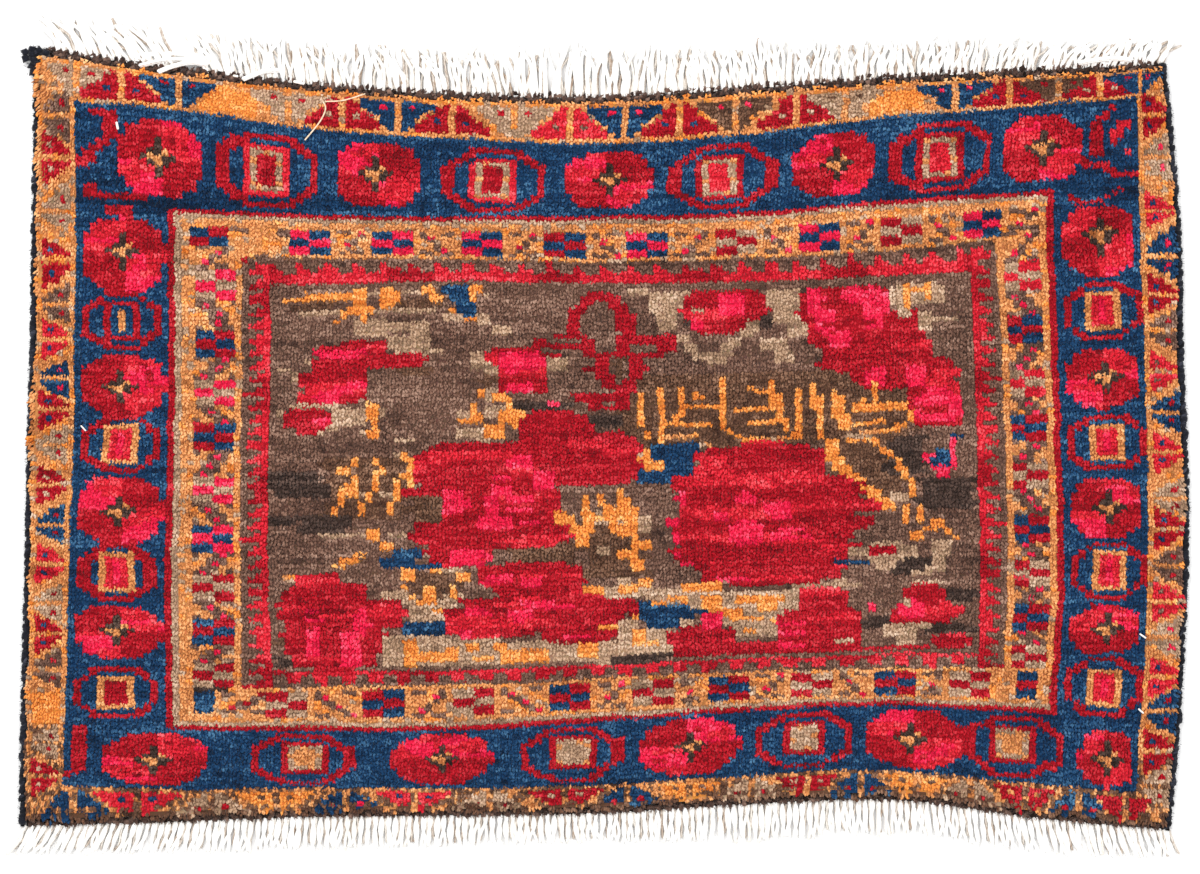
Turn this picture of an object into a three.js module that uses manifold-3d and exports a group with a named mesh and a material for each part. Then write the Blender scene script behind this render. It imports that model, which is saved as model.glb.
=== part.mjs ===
// A small hand-knotted wool rug, lying flat, with a cotton fringe along both of its long ends.
// Units are millimetres. X runs along the long side, Y runs from the near end to the far end,
// and Z is up from the floor. The pile is combed towards the near end.

import * as THREE from 'three';
import { mergeVertices } from 'three/addons/utils/BufferGeometryUtils.js';
import Module from 'manifold-3d';

// Driving dimensions of the rug's own pieces.
const PIECE_GAP = 0.3;
const PILE_HEIGHT = 9;
const PILE_SHOULDER = 6;
const PILE_ROUNDING = 4;
const PILE_CELLS = { along: 28, across: 18 };
const SELVEDGE = { width: 5.5, height: 6, sides: 8, wraps: 28, wrapDepth: 0.4, endInset: 0.7 };
const BINDING = { width: 6.5, height: 4, steps: 44, ridge: 0.3 };
const STRIP = { width: 2.5, height: 3.4, steps: 44 };
const LOCK = { pitch: 6.9, radius: 2.2, tip: 0.6, steps: 2, rootSink: 1.5 };
const LOCK_JITTER = { length: 0.1, sideways: 0.7 };

// How the two fringed ends wander, by place along the rug. Each row holds the outer line of both
// bound ends, how far the fringe reaches beyond each, and how far its tips lean to the right.
const END_STATIONS = [
  { x: -450, farEdge: 309, nearEdge: -302, farFringe: 26, nearFringe: 20, farLean: -10, nearLean: -8 },
  { x: -340, farEdge: 293, nearEdge: -299, farFringe: 33, nearFringe: 22, farLean: -5, nearLean: -3 },
  { x: -230, farEdge: 280, nearEdge: -295, farFringe: 32, nearFringe: 24, farLean: 3, nearLean: 1 },
  { x: -115, farEdge: 272, nearEdge: -294, farFringe: 33, nearFringe: 22, farLean: -2, nearLean: -1 },
  { x: 0, farEdge: 270, nearEdge: -292, farFringe: 36, nearFringe: 21, farLean: 2, nearLean: 2 },
  { x: 115, farEdge: 277, nearEdge: -285, farFringe: 31, nearFringe: 27, farLean: -2, nearLean: 1 },
  { x: 230, farEdge: 285.5, nearEdge: -282, farFringe: 28, nearFringe: 25, farLean: 2, nearLean: -1 },
  { x: 340, farEdge: 291, nearEdge: -296, farFringe: 21, nearFringe: 26, farLean: 4, nearLean: 3 },
  { x: 450, farEdge: 297, nearEdge: -306, farFringe: 17, nearFringe: 20, farLean: 7, nearLean: 8 },
];

// How the two selvedges wander, by place across the rug.
const SIDE_STATIONS = [
  { y: -300, leftEdge: -457, rightEdge: 443 },
  { y: -225, leftEdge: -456, rightEdge: 450 },
  { y: -150, leftEdge: -454, rightEdge: 454 },
  { y: -75, leftEdge: -452.5, rightEdge: 457 },
  { y: 0, leftEdge: -451, rightEdge: 456 },
  { y: 75, leftEdge: -448.5, rightEdge: 452.5 },
  { y: 150, leftEdge: -447.5, rightEdge: 451.5 },
  { y: 225, leftEdge: -446, rightEdge: 446 },
  { y: 300, leftEdge: -445.5, rightEdge: 438.5 },
];

// Slow waves in the pile's surface, each with its height and its lengths along X and Y.
const PILE_WAVES = [
  { height: 0.25, overX: 600, overY: 1000 },
  { height: 0.15, overX: -1300, overY: 440 },
  { height: 0.1, overX: 230, overY: -300 },
];

// The far fringe has lost a few of its strands here.
const FRINGE_BREAK = { from: -332, to: -317 };

const COLOURS = {
  pile: '#8f3a3d',
  darkWool: '#3a2c27',
  sideWool: '#20242f',
  cotton: '#e9e4d8',
};

const wasm = await Module();
wasm.setup();

// A smooth line through one column of a table, held level beyond its ends.
function lineThrough(rows, place, column) {
  const places = rows.map((row) => row[place]);
  const values = rows.map((row) => row[column]);
  const line = new THREE.CubicInterpolant(places, values, 1);
  return (at) => line.evaluate(at)[0];
}

const farEdge = lineThrough(END_STATIONS, 'x', 'farEdge');
const nearEdge = lineThrough(END_STATIONS, 'x', 'nearEdge');
const leftEdge = lineThrough(SIDE_STATIONS, 'y', 'leftEdge');
const rightEdge = lineThrough(SIDE_STATIONS, 'y', 'rightEdge');

// Near end or left side is -1, far end or right side is 1, and their shares of the way are 0 and 1.
function shareAt(side) {
  return (side + 1) / 2;
}

// The spot at share u along and v across the rug, once its sides and ends are drawn in by the insets.
function spotOn(u, v, sideInset, endInset) {
  const spot = new THREE.Vector2(0, 0);
  for (let pass = 0; pass < 4; pass += 1) {
    const left = leftEdge(spot.y) + sideInset;
    const right = rightEdge(spot.y) - sideInset;
    spot.x = THREE.MathUtils.lerp(left, right, u);
    const near = nearEdge(spot.x) + endInset;
    const far = farEdge(spot.x) - endInset;
    spot.y = THREE.MathUtils.lerp(near, far, v);
  }
  return spot;
}

// Moves every corner of a plain geometry to where the rule puts it, and joins the shared corners.
function shaped(geometry, rule) {
  geometry.deleteAttribute('normal');
  geometry.deleteAttribute('uv');
  const corners = geometry.attributes.position;
  const corner = new THREE.Vector3();
  for (let index = 0; index < corners.count; index += 1) {
    corner.fromBufferAttribute(corners, index);
    const moved = rule(corner);
    corners.setXYZ(index, moved.x, moved.y, moved.z);
  }
  const joined = mergeVertices(geometry);
  joined.computeVertexNormals();
  return joined;
}

function asSolid(geometry) {
  const vertProperties = Float32Array.from(geometry.attributes.position.array);
  const triVerts = Uint32Array.from(geometry.index.array);
  return new wasm.Manifold(new wasm.Mesh({ numProp: 3, vertProperties, triVerts }));
}

function asGeometry(solid) {
  const mesh = solid.getMesh();
  const geometry = new THREE.BufferGeometry();
  geometry.setAttribute('position', new THREE.BufferAttribute(mesh.vertProperties, 3));
  geometry.setIndex(new THREE.BufferAttribute(mesh.triVerts, 1));
  geometry.computeVertexNormals();
  return geometry;
}

function woollen(name, geometry, colour) {
  const material = new THREE.MeshStandardMaterial({ color: colour, roughness: 0.95, metalness: 0 });
  const mesh = new THREE.Mesh(geometry, material);
  mesh.name = name;
  return mesh;
}

// The soft rise and fall of the pile's surface.
function pileWave(x, y) {
  let rise = 0;
  for (const wave of PILE_WAVES) {
    rise += wave.height * Math.sin(2 * Math.PI * (x / wave.overX + y / wave.overY));
  }
  return rise;
}

// Grid lines between 0 and 1, the first and last of which stay close to the rim.
function rimShare(step, count, length) {
  const rim = PILE_ROUNDING / length;
  if (step === 0) return 0;
  if (step === count) return 1;
  return THREE.MathUtils.lerp(rim, 1 - rim, (step - 1) / (count - 2));
}

// The knotted body: foundation and pile in one slab, with a rounded rim and an uneven top.
function knottedPile() {
  const { along, across } = PILE_CELLS;
  const sideInset = SELVEDGE.width + PIECE_GAP;
  const endInset = BINDING.width + PIECE_GAP;
  const length = rightEdge(0) - leftEdge(0);
  const width = farEdge(0) - nearEdge(0);
  const geometry = new THREE.BoxGeometry(1, 1, 1, along, across, 1);
  return shaped(geometry, (corner) => {
    const column = Math.round((corner.x + 0.5) * along);
    const row = Math.round((corner.y + 0.5) * across);
    const u = rimShare(column, along, length);
    const v = rimShare(row, across, width);
    const spot = spotOn(u, v, sideInset, endInset);
    const onRim = column === 0 || column === along || row === 0 || row === across;
    const top = onRim ? PILE_SHOULDER : PILE_HEIGHT + pileWave(spot.x, spot.y);
    return new THREE.Vector3(spot.x, spot.y, corner.z > 0 ? top : 0);
  });
}

// An overcast side: a round cord with a flat seat, a little thinner between one wrap and the next.
function selvedge(side) {
  const { width, height, sides, wraps, wrapDepth, endInset } = SELVEDGE;
  const turnToSeat = Math.PI / sides;
  const geometry = new THREE.CylinderGeometry(1, 1, 1, sides, wraps * 2, false, turnToSeat);
  const seat = Math.cos(turnToSeat);
  return shaped(geometry, (corner) => {
    const step = Math.round((corner.y + 0.5) * wraps * 2);
    const dip = step % 2 === 0 ? 0 : wrapDepth;
    const edge = spotOn(shareAt(side), corner.y + 0.5, width / 2, endInset);
    const girth = (width / 2 - dip) / seat;
    const rise = (height - dip) * (corner.z + seat) / (2 * seat);
    return new THREE.Vector3(edge.x + corner.x * girth, edge.y, rise);
  });
}

// A bound end: a flat band of dark wool along the last weft rows, with a low ridge along its middle.
function endBinding(side) {
  const { width, height, steps, ridge } = BINDING;
  const sideInset = SELVEDGE.width + PIECE_GAP;
  const geometry = new THREE.BoxGeometry(1, 1, 1, steps, 2, 1);
  return shaped(geometry, (corner) => {
    const inset = width * (0.5 - corner.y * side);
    const edge = spotOn(corner.x + 0.5, shareAt(side), sideInset, inset);
    const onRidge = Math.abs(corner.y) < 0.25;
    const top = onRidge ? height : height * (1 - ridge);
    return new THREE.Vector3(edge.x, edge.y, corner.z > 0 ? top : 0);
  });
}

// A narrow strip of knotted warp ends, just outside a bound end, that every lock grows from.
function fringeStrip(side) {
  const { width, height, steps } = STRIP;
  const geometry = new THREE.BoxGeometry(1, 1, 1, steps, 1, 1);
  return shaped(geometry, (corner) => {
    const outset = PIECE_GAP + width * (0.5 + corner.y * side);
    const edge = spotOn(corner.x + 0.5, shareAt(side), 0, -outset);
    return new THREE.Vector3(edge.x, edge.y, corner.z > 0 ? height : 0);
  });
}

// One lock: a three-sided taper that lies on the floor with one flat face down. That face is half
// the section's radius below the middle of the section.
function lock(root, side, reach, lean) {
  const { radius, tip, steps } = LOCK;
  const geometry = new THREE.CylinderGeometry(1, 1, 1, 3, steps, false);
  return shaped(geometry, (corner) => {
    const share = corner.y + 0.5;
    const girth = THREE.MathUtils.lerp(radius, tip, share * share);
    const sideways = lean * share * share;
    const x = root.x + sideways + corner.x * girth * side;
    const y = root.y + side * reach * share;
    const rise = girth * (corner.z + 0.5);
    return new THREE.Vector3(x, y, rise);
  });
}

// A repeatable run of numbers from -1 to 1.
function seededNumbers(seed) {
  const factor = 1664525;
  const step = 1013904223;
  const range = 2 ** 32;
  let state = seed;
  return () => {
    state = (state * factor + step) % range;
    return 2 * state / range - 1;
  };
}

// A whole fringe: the strip and its locks, joined at their roots.
function fringe(side, seed) {
  const name = side < 0 ? 'near' : 'far';
  const reachOf = lineThrough(END_STATIONS, 'x', `${name}Fringe`);
  const leanOf = lineThrough(END_STATIONS, 'x', `${name}Lean`);
  const next = seededNumbers(seed);
  const first = spotOn(0, shareAt(side), LOCK.radius, 0);
  const last = spotOn(1, shareAt(side), LOCK.radius, 0);
  const count = Math.floor((last.x - first.x) / LOCK.pitch);
  const solids = [asSolid(fringeStrip(side))];
  for (let index = 0; index <= count; index += 1) {
    const rootOutset = PIECE_GAP + STRIP.width - LOCK.rootSink;
    const root = spotOn(index / count, shareAt(side), LOCK.radius, -rootOutset);
    const spread = 1 + LOCK_JITTER.length * next();
    const reach = reachOf(root.x) * spread - rootOutset;
    const lean = leanOf(root.x) + LOCK_JITTER.sideways * next();
    const inBreak = side > 0 && root.x > FRINGE_BREAK.from && root.x < FRINGE_BREAK.to;
    if (!inBreak) solids.push(asSolid(lock(root, side, reach, lean)));
  }
  return asGeometry(wasm.Manifold.union(solids));
}

const rug = new THREE.Group();
rug.add(woollen('knotted_pile', knottedPile(), COLOURS.pile));
rug.add(woollen('left_selvedge', selvedge(-1), COLOURS.sideWool));
rug.add(woollen('right_selvedge', selvedge(1), COLOURS.sideWool));
rug.add(woollen('far_end_binding', endBinding(1), COLOURS.darkWool));
rug.add(woollen('near_end_binding', endBinding(-1), COLOURS.darkWool));
rug.add(woollen('far_end_fringe', fringe(1, 7), COLOURS.cotton));
rug.add(woollen('near_end_fringe', fringe(-1, 19), COLOURS.cotton));

// The origin is on the floor, under the middle of everything that is built.
const extent = new THREE.Box3().setFromObject(rug);
const middle = extent.getCenter(new THREE.Vector3());
rug.position.set(-middle.x, -middle.y, -extent.min.z);

export default rug;
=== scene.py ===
# A small hand-knotted wool rug, laid flat: a cotton and wool ground cloth, about 27,000 knots of
# wool pile in ten dyes, overcast sides, dark bound ends and a cotton fringe past both ends. The
# rug's lengths are in millimetres, and are turned into metres where a mesh is made. The floor and
# the lights are in metres.
import math

import bpy
import numpy as np
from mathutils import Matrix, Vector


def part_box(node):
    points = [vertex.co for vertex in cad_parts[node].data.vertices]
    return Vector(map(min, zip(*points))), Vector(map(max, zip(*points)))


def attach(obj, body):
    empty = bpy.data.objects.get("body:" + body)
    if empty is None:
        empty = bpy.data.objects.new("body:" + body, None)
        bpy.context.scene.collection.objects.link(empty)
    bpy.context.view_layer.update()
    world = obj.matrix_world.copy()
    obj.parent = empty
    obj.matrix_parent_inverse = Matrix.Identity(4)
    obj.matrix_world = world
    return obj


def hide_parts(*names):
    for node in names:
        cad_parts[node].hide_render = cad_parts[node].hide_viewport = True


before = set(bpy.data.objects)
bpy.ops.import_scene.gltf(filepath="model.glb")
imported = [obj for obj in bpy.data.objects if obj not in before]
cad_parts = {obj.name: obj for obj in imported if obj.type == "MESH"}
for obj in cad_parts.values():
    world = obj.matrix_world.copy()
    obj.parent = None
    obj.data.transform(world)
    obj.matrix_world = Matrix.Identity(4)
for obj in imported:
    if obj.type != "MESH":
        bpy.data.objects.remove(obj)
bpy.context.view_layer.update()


# Ground cloth
# The cotton and wool warp and weft that every knot is tied on, and the lower part of the pile that
# stands packed upright on it, as one thick sheet. Its sides and ends wander, as hand weaving does.

MM = 0.001
PACKED_HEIGHT = 6.3
PIECE_GAP = 0.3
SELVEDGE_WIDTH = 5.5
BINDING_WIDTH = 6.5

# The rug's outer edges: its two ends by place along the rug, and its two sides by place across it.
END_STATIONS = (-450, -340, -230, -115, 0, 115, 230, 340, 450)
FAR_EDGE = (309, 293, 280, 272, 270, 277, 285.5, 291, 297)
NEAR_EDGE = (-302, -299, -295, -294, -292, -285, -282, -296, -306)
SIDE_STATIONS = (-300, -225, -150, -75, 0, 75, 150, 225, 300)
LEFT_EDGE = (-457, -456, -454, -452.5, -451, -448.5, -447.5, -446, -445.5)
RIGHT_EDGE = (443, 450, 454, 457, 456, 452.5, 451.5, 446, 438.5)

# Where the borders' seams run, in the order in which they cross the rug from left to right and
# from near to far, with the number of knots up to each. They wander as the edges do.
SEAM_Y = (-280, -202, -108, -15, 79, 172, 266)
SEAMS_ACROSS = (
    (7, (-423.9, -420, -417.6, -414.2, -413.2, -412, -413.4)),
    (20, (-342, -342, -343, -341.3, -339.5, -339.8, -340)),
    (31, (-282.4, -282.4, -283.9, -283.8, -282.8, -282.4, -281.3)),
    (35, (-258, -258, -261.7, -262, -260, -262, -260)),
    (137, (289, 291, 294, 291.6, 288.4, 286, 287.5)),
    (141, (310, 311, 315, 313.6, 310, 304.5, 309)),
    (149, (352, 354, 359.6, 357, 354, 351, 352)),
    (161, (415, 420, 424.3, 423.9, 421.6, 418, 416.5)),
)
SEAM_X = (-424, -338.5, -237, -120, 0, 106, 215, 324.5, 418)
SEAMS_ALONG = (
    (6, (-269.9, -272.7, -272.2, -271.8, -269.5, -262.1, -258.2, -267.5, -276.5)),
    (21, (-226.2, -226.2, -227, -227, -219.6, -212.2, -207.5, -212.5, -217.6)),
    (30, (-197.3, -197.3, -196.6, -194.6, -189.5, -184, -181, -181, -182.5)),
    (35, (-181, -181, -181, -180.2, -175.5, -171.6, -167.7, -167, -167)),
    (122, (117.8, 119, 120.9, 124, 122.5, 123.2, 127.9, 134.2, 139.6)),
    (127, (142, 142, 141.2, 141.2, 138, 141.2, 147.4, 157.6, 166.1)),
    (138, (184.9, 181, 175.9, 173.9, 174.7, 177.5, 186.4, 193.4, 198.1)),
    (155, (265.2, 258.2, 243.4, 235.6, 230.9, 237.9, 251.2, 259.7, 267.9)),
)
KNOT_COLUMNS = 167
KNOT_ROWS = 164


def smooth_line(places, values):
    """A smooth line through a table's column, held level beyond its ends."""
    places = np.array(places, float)
    values = np.array(values, float)
    slopes = np.gradient(values, places)

    def line(at):
        at = np.clip(at, places[0], places[-1])
        step = np.clip(np.searchsorted(places, at) - 1, 0, len(places) - 2)
        gap = places[step + 1] - places[step]
        t = (at - places[step]) / gap
        rise = values[step + 1] - values[step]
        start = slopes[step] * gap - rise
        end = rise - slopes[step + 1] * gap
        bend = t * (1 - t) * (start * (1 - t) + end * t)
        return values[step] + rise * t + bend

    return line


far_edge = smooth_line(END_STATIONS, FAR_EDGE)
near_edge = smooth_line(END_STATIONS, NEAR_EDGE)
left_edge = smooth_line(SIDE_STATIONS, LEFT_EDGE)
right_edge = smooth_line(SIDE_STATIONS, RIGHT_EDGE)
side_inset = SELVEDGE_WIDTH + PIECE_GAP
end_inset = BINDING_WIDTH + PIECE_GAP


def seam_lines(low_line, low_inset, high_line, high_inset, places, seams, last):
    """The knot number and the line of each seam, the pile's two outer ones included."""
    numbers = [0] + [number for number, _ in seams] + [last]
    lines = [lambda at: low_line(at) + low_inset]
    lines += [smooth_line(places, values) for _, values in seams]
    lines += [lambda at: high_line(at) - high_inset]
    return np.array(numbers, float), lines


column_numbers, column_lines = seam_lines(
    left_edge, side_inset, right_edge, side_inset, SEAM_Y, SEAMS_ACROSS, KNOT_COLUMNS
)
row_numbers, row_lines = seam_lines(
    near_edge, end_inset, far_edge, end_inset, SEAM_X, SEAMS_ALONG, KNOT_ROWS
)


def between_seams(number, numbers, lines, at):
    """The place of a knot number between the two seams that it lies between."""
    step = np.clip(np.searchsorted(numbers, number, side="right") - 1, 0, len(lines) - 2)
    places = np.array([line(at) for line in lines])
    picked = np.arange(len(number))
    low = places[step, picked]
    high = places[step + 1, picked]
    share = (number - numbers[step]) / (numbers[step + 1] - numbers[step])
    return low + (high - low) * share


# Every line across the rug bends with those along it, so x and y are found in turn, a few times.
SETTLING_ROUNDS = 4


def knot_places(columns, rows):
    """The x and y of knots given by column and row, before the rug is centred."""
    x = np.zeros(len(columns))
    y = np.zeros(len(columns))
    for _ in range(SETTLING_ROUNDS):
        x = between_seams(columns, column_numbers, column_lines, y)
        y = between_seams(rows, row_numbers, row_lines, x)
    return x, y


def outline_box():
    """The lowest and highest x and y of the knotted body's outline."""
    places_on_an_edge = 41
    share = np.linspace(0, 1, places_on_an_edge)
    start = share * 0
    end = start + 1
    ring_columns = np.concatenate((share, share, start, end)) * KNOT_COLUMNS
    ring_rows = np.concatenate((start, end, share, share)) * KNOT_ROWS
    x, y = knot_places(ring_columns, ring_rows)
    return np.array((x.min(), y.min())), np.array((x.max(), y.max()))


# The tables are about the middle of the field, and the frame's origin is under the whole rug.
drawn_low, drawn_high = outline_box()
pile_low, pile_high = (np.array(corner[:2]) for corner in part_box("knotted_pile"))
centring = (pile_low + pile_high) / 2 / MM - (drawn_low + drawn_high) / 2


def to_metres(points):
    """Points in the tables' millimetres, moved to the frame's origin and turned into metres."""
    moved = np.array(points, float)
    moved[..., :2] += centring
    return moved * MM


def drop_selection():
    bpy.ops.object.select_all(action="DESELECT")


def mesh_points(obj):
    flat = np.empty(len(obj.data.vertices) * 3)
    obj.data.vertices.foreach_get("co", flat)
    return flat.reshape(-1, 3)


def move_points(obj, points):
    obj.data.vertices.foreach_set("co", np.asarray(points, float).ravel())
    obj.data.update()


drop_selection()
bpy.ops.mesh.primitive_grid_add(x_subdivisions=KNOT_COLUMNS, y_subdivisions=KNOT_ROWS, size=1)
ground = bpy.context.object
ground.name = "ground_cloth"
shares = mesh_points(ground) + 0.5
ground_x, ground_y = knot_places(shares[:, 0] * KNOT_COLUMNS, shares[:, 1] * KNOT_ROWS)
ground_points = np.stack((ground_x, ground_y, np.zeros(len(ground_x))), axis=1)
move_points(ground, to_metres(ground_points))
thickness = ground.modifiers.new("thickness", "SOLIDIFY")
thickness.thickness = PACKED_HEIGHT * MM
thickness.offset = 1
bpy.ops.object.modifier_apply(modifier=thickness.name)


# Knotted pile
# Wool yarn in ten dyes, one symmetric knot after another, row by row from the near end. Each
# knot shows two cut ends. The pile is about 9 mm deep and is combed towards the near end.

PILE_HEIGHT = 9.0
CLOTH_THICKNESS = 3.0
random = np.random.default_rng(11)

# The dye lots, each with its deep, full and faded colour as red, green and blue out of 255.
DYES = {
    "crimson": ((104, 5, 16), (184, 16, 34), (226, 66, 78)),
    "coral": ((152, 12, 28), (226, 36, 54), (250, 108, 116)),
    "magenta": ((176, 8, 44), (244, 32, 76), (255, 108, 138)),
    "blue": ((8, 24, 46), (24, 65, 105), (86, 134, 170)),
    "orange": ((190, 92, 26), (250, 158, 74), (255, 214, 142)),
    "camel": ((150, 84, 42), (232, 156, 94), (255, 208, 150)),
    "beige": ((116, 88, 68), (192, 156, 126), (238, 210, 184)),
    "taupe": ((58, 39, 33), (124, 90, 75), (186, 150, 130)),
    "umber": ((58, 35, 26), (113, 79, 60), (170, 130, 105)),
    "dark": ((30, 21, 18), (75, 57, 50), (120, 96, 85)),
}
NUMBER = {dye: number for number, dye in enumerate(DYES)}

# The chart holds the dye of every knot. Its bands meet at the ground's seams: from the outside in,
# the blue border, the inner guard, the band of teeth and the field.
knots = np.full((KNOT_ROWS, KNOT_COLUMNS), NUMBER["taupe"])
BLUE_LEFT, GUARD_LEFT, TEETH_LEFT, FIELD_LEFT, FIELD_RIGHT, TEETH_RIGHT, GUARD_RIGHT, BLUE_RIGHT = (
    number for number, _ in SEAMS_ACROSS
)
BLUE_NEAR, GUARD_NEAR, TEETH_NEAR, FIELD_NEAR, FIELD_FAR, TEETH_FAR, GUARD_FAR, BLUE_FAR = (
    number for number, _ in SEAMS_ALONG
)


def drift(rows, columns, row_reach, column_reach):
    """Slow random change over the knots, about -2 to 2, even within the given reach."""
    blending_loss = 1.3
    coarse = random.normal(size=(rows // row_reach + 3, columns // column_reach + 3))
    row_at = np.arange(rows) / row_reach
    column_at = np.arange(columns) / column_reach
    row_step = row_at.astype(int)
    column_step = column_at.astype(int)
    row_share = (row_at - row_step)[:, None]
    column_share = (column_at - column_step)[None, :]
    low = coarse[row_step][:, column_step] * (1 - column_share)
    low = low + coarse[row_step][:, column_step + 1] * column_share
    high = coarse[row_step + 1][:, column_step] * (1 - column_share)
    high = high + coarse[row_step + 1][:, column_step + 1] * column_share
    return (low * (1 - row_share) + high * row_share) * blending_loss


def block(area, dye, left, right, near, far, ragged=0):
    """A plain block of knots, whose sides may wander by a knot from row to row."""
    for row in range(max(0, round(near)), min(area.shape[0], round(far))):
        start = round(left) + (random.integers(-ragged, ragged + 1) if ragged else 0)
        stop = round(right) + (random.integers(-ragged, ragged + 1) if ragged else 0)
        area[row, max(0, start):max(0, stop)] = NUMBER[dye]


def patches(area, dye, *spans):
    """Plain blocks of one dye, each by its left and right column and its near and far row."""
    for left, right, near, far in spans:
        area[near:far, left:right] = NUMBER[dye]


def stroke(area, dye, points, thick=1):
    """A stepped line of knots through the given columns and rows."""
    steps_in_a_knot = 3
    for (column, row), (next_column, next_row) in zip(points, points[1:]):
        steps = int(steps_in_a_knot * max(abs(next_column - column), abs(next_row - row), 1))
        for share in np.linspace(0, 1, steps + 1):
            at_row = int(row + (next_row - row) * share)
            at_column = int(column + (next_column - column) * share)
            if 0 <= at_row < area.shape[0]:
                area[at_row, max(0, at_column):at_column + thick] = NUMBER[dye]


def lobes_in(area, lobes):
    """Which knots lie in any of the rounded lobes: middle column and row, half width and height."""
    roundness = 3.4
    unevenness = 0.11
    rows, columns = np.indices(area.shape) + 0.5
    inside = np.zeros(area.shape, bool)
    for column, row, half_columns, half_rows in lobes:
        wander = random.normal(0, unevenness, area.shape[0])[:, None]
        across = np.abs((columns - column) / half_columns) ** roundness
        along = np.abs((rows - row) / half_rows) ** roundness
        inside |= across + along < 1 + wander
    return inside


def rose(area, lobes, blushes):
    """A full-blown crimson rose of overlapping lobes, with coral streaks and pink patches."""
    coral_above = 0.9
    pink_above = -1.4
    petals = lobes_in(area, lobes)
    streaks = drift(*area.shape, 2, 9)
    area[petals] = NUMBER["crimson"]
    area[petals & (streaks > coral_above)] = NUMBER["coral"]
    pink = petals & lobes_in(area, blushes) & (drift(*area.shape, 1, 5) > pink_above)
    area[pink] = NUMBER["magenta"]


# The field: roses on an uneven brown ground, with leaves and sprays in orange, beige and blue.
field = knots[FIELD_NEAR:FIELD_FAR, FIELD_LEFT:FIELD_RIGHT]
for spans in (
    (4, 10, 81, 83), (18, 25, 81, 83), (8, 20, 34, 48), (20, 27, 32, 39), (30, 33, 62, 66),
    (49, 52, 65, 70), (50, 93, 49, 63), (54, 92, 63, 66), (80, 92, 36, 50), (20, 27, 16, 22),
    (34, 45, 23, 28), (19, 23, 66, 68), (1, 8, 5, 9), (45, 54, 20, 33),
):
    block(field, "umber", *spans, 1)
for spans in (
    (0, 8, 39, 45), (4, 11, 31, 35), (0, 5, 33, 35), (93, 102, 33, 40), (89, 95, 41, 50),
    (90, 95, 18, 22), (85, 90, 6, 9), (95, 101, 5, 7), (34, 44, 58, 60), (46, 50, 54, 57),
    (96, 102, 12, 15), (70, 74, 76, 79), (60, 62, 77, 79), (0, 3, 1, 4),
):
    block(field, "dark", *spans, 1)

# Beige steps and orange sprigs in the field's upper left.
patches(
    field, "beige", (4, 10, 80, 81), (15, 24, 80, 81), (12, 17, 75, 79), (17, 23, 76, 78),
    (17, 20, 72, 75), (18, 20, 71, 73), (20, 23, 70, 76), (23, 25, 71, 72), (25, 28, 78, 80),
    (30, 32, 77, 80), (32, 35, 75, 77), (31, 32, 83, 84), (14, 16, 84, 85), (19, 22, 84, 85),
)
patches(
    field, "orange", (2, 5, 83, 84), (5, 12, 83, 85), (12, 14, 82, 86), (11, 13, 80, 82),
    (10, 11, 79, 81), (9, 10, 78, 79), (13, 15, 80, 82), (13, 14, 78, 80), (16, 18, 81, 86),
    (18, 19, 82, 85), (22, 24, 84, 86), (23, 25, 82, 84), (26, 27, 80, 81), (28, 30, 78, 79),
    (29, 30, 78, 86), (30, 31, 84, 86),
)
patches(field, "blue", (25, 26, 84, 86), (26, 29, 82, 86), (27, 30, 80, 82), (28, 30, 79, 80))

# The slanting rose at the left, with a lower bud on a beige stalk.
rose(
    field,
    ((13.4, 72.2, 4, 2.2), (11.6, 71.2, 5.2, 1.6), (18, 69.6, 5, 1.5), (9.6, 67, 4, 3.8),
     (8.6, 65.4, 5, 1.9), (9.4, 62.2, 4.4, 2.4), (6.6, 61.6, 3, 1.9), (5.8, 56.6, 3.6, 2.2),
     (6, 54.8, 1.6, 1.8)),
    ((10, 71, 3.6, 1.3), (8.4, 61.4, 1.9, 1.1), (10.8, 62.8, 1.6, 1.2), (12.4, 64.2, 1.3, 1),
     (7.6, 56.8, 1.3, 1.3)),
)
patches(
    field, "beige", (3, 10, 59, 60), (9, 14, 55, 59), (1, 3, 67, 68), (3, 4, 65, 67),
    (5, 6, 69, 70), (1, 2, 57, 59), (7, 8, 53, 54), (8, 10, 54, 55), (16, 17, 57, 59),
    (13, 14, 53, 54), (18, 21, 51, 52), (18, 20, 48, 49), (23, 24, 48, 49),
)
patches(field, "orange", (14, 16, 56, 60), (15, 16, 53, 57), (14, 16, 52, 54), (19, 20, 47, 49))

# The small red flower with beige wings, and the orange cluster under it.
patches(field, "beige", (29, 32, 67, 71), (31, 33, 66, 69), (40, 43, 67, 70), (39, 40, 62, 63))
rose(
    field, ((36.6, 66.8, 3.7, 5), (33, 70, 1.6, 1.6)),
    ((35, 69, 1.8, 2.6), (38.4, 69, 1.2, 2.4), (36, 63, 2.4, 1.2)),
)
patches(
    field, "beige", (27, 30, 56, 58), (27, 31, 52, 54), (31, 34, 56, 59), (30, 32, 51, 53),
    (31, 33, 60, 63),
)
patches(
    field, "orange", (30, 31, 61, 63), (32, 34, 60, 62), (29, 30, 55, 60), (27, 31, 55, 56),
    (30, 31, 55, 57), (34, 35, 57, 61), (33, 36, 55, 58), (35, 37, 54, 58), (31, 34, 52, 55),
)

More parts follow.
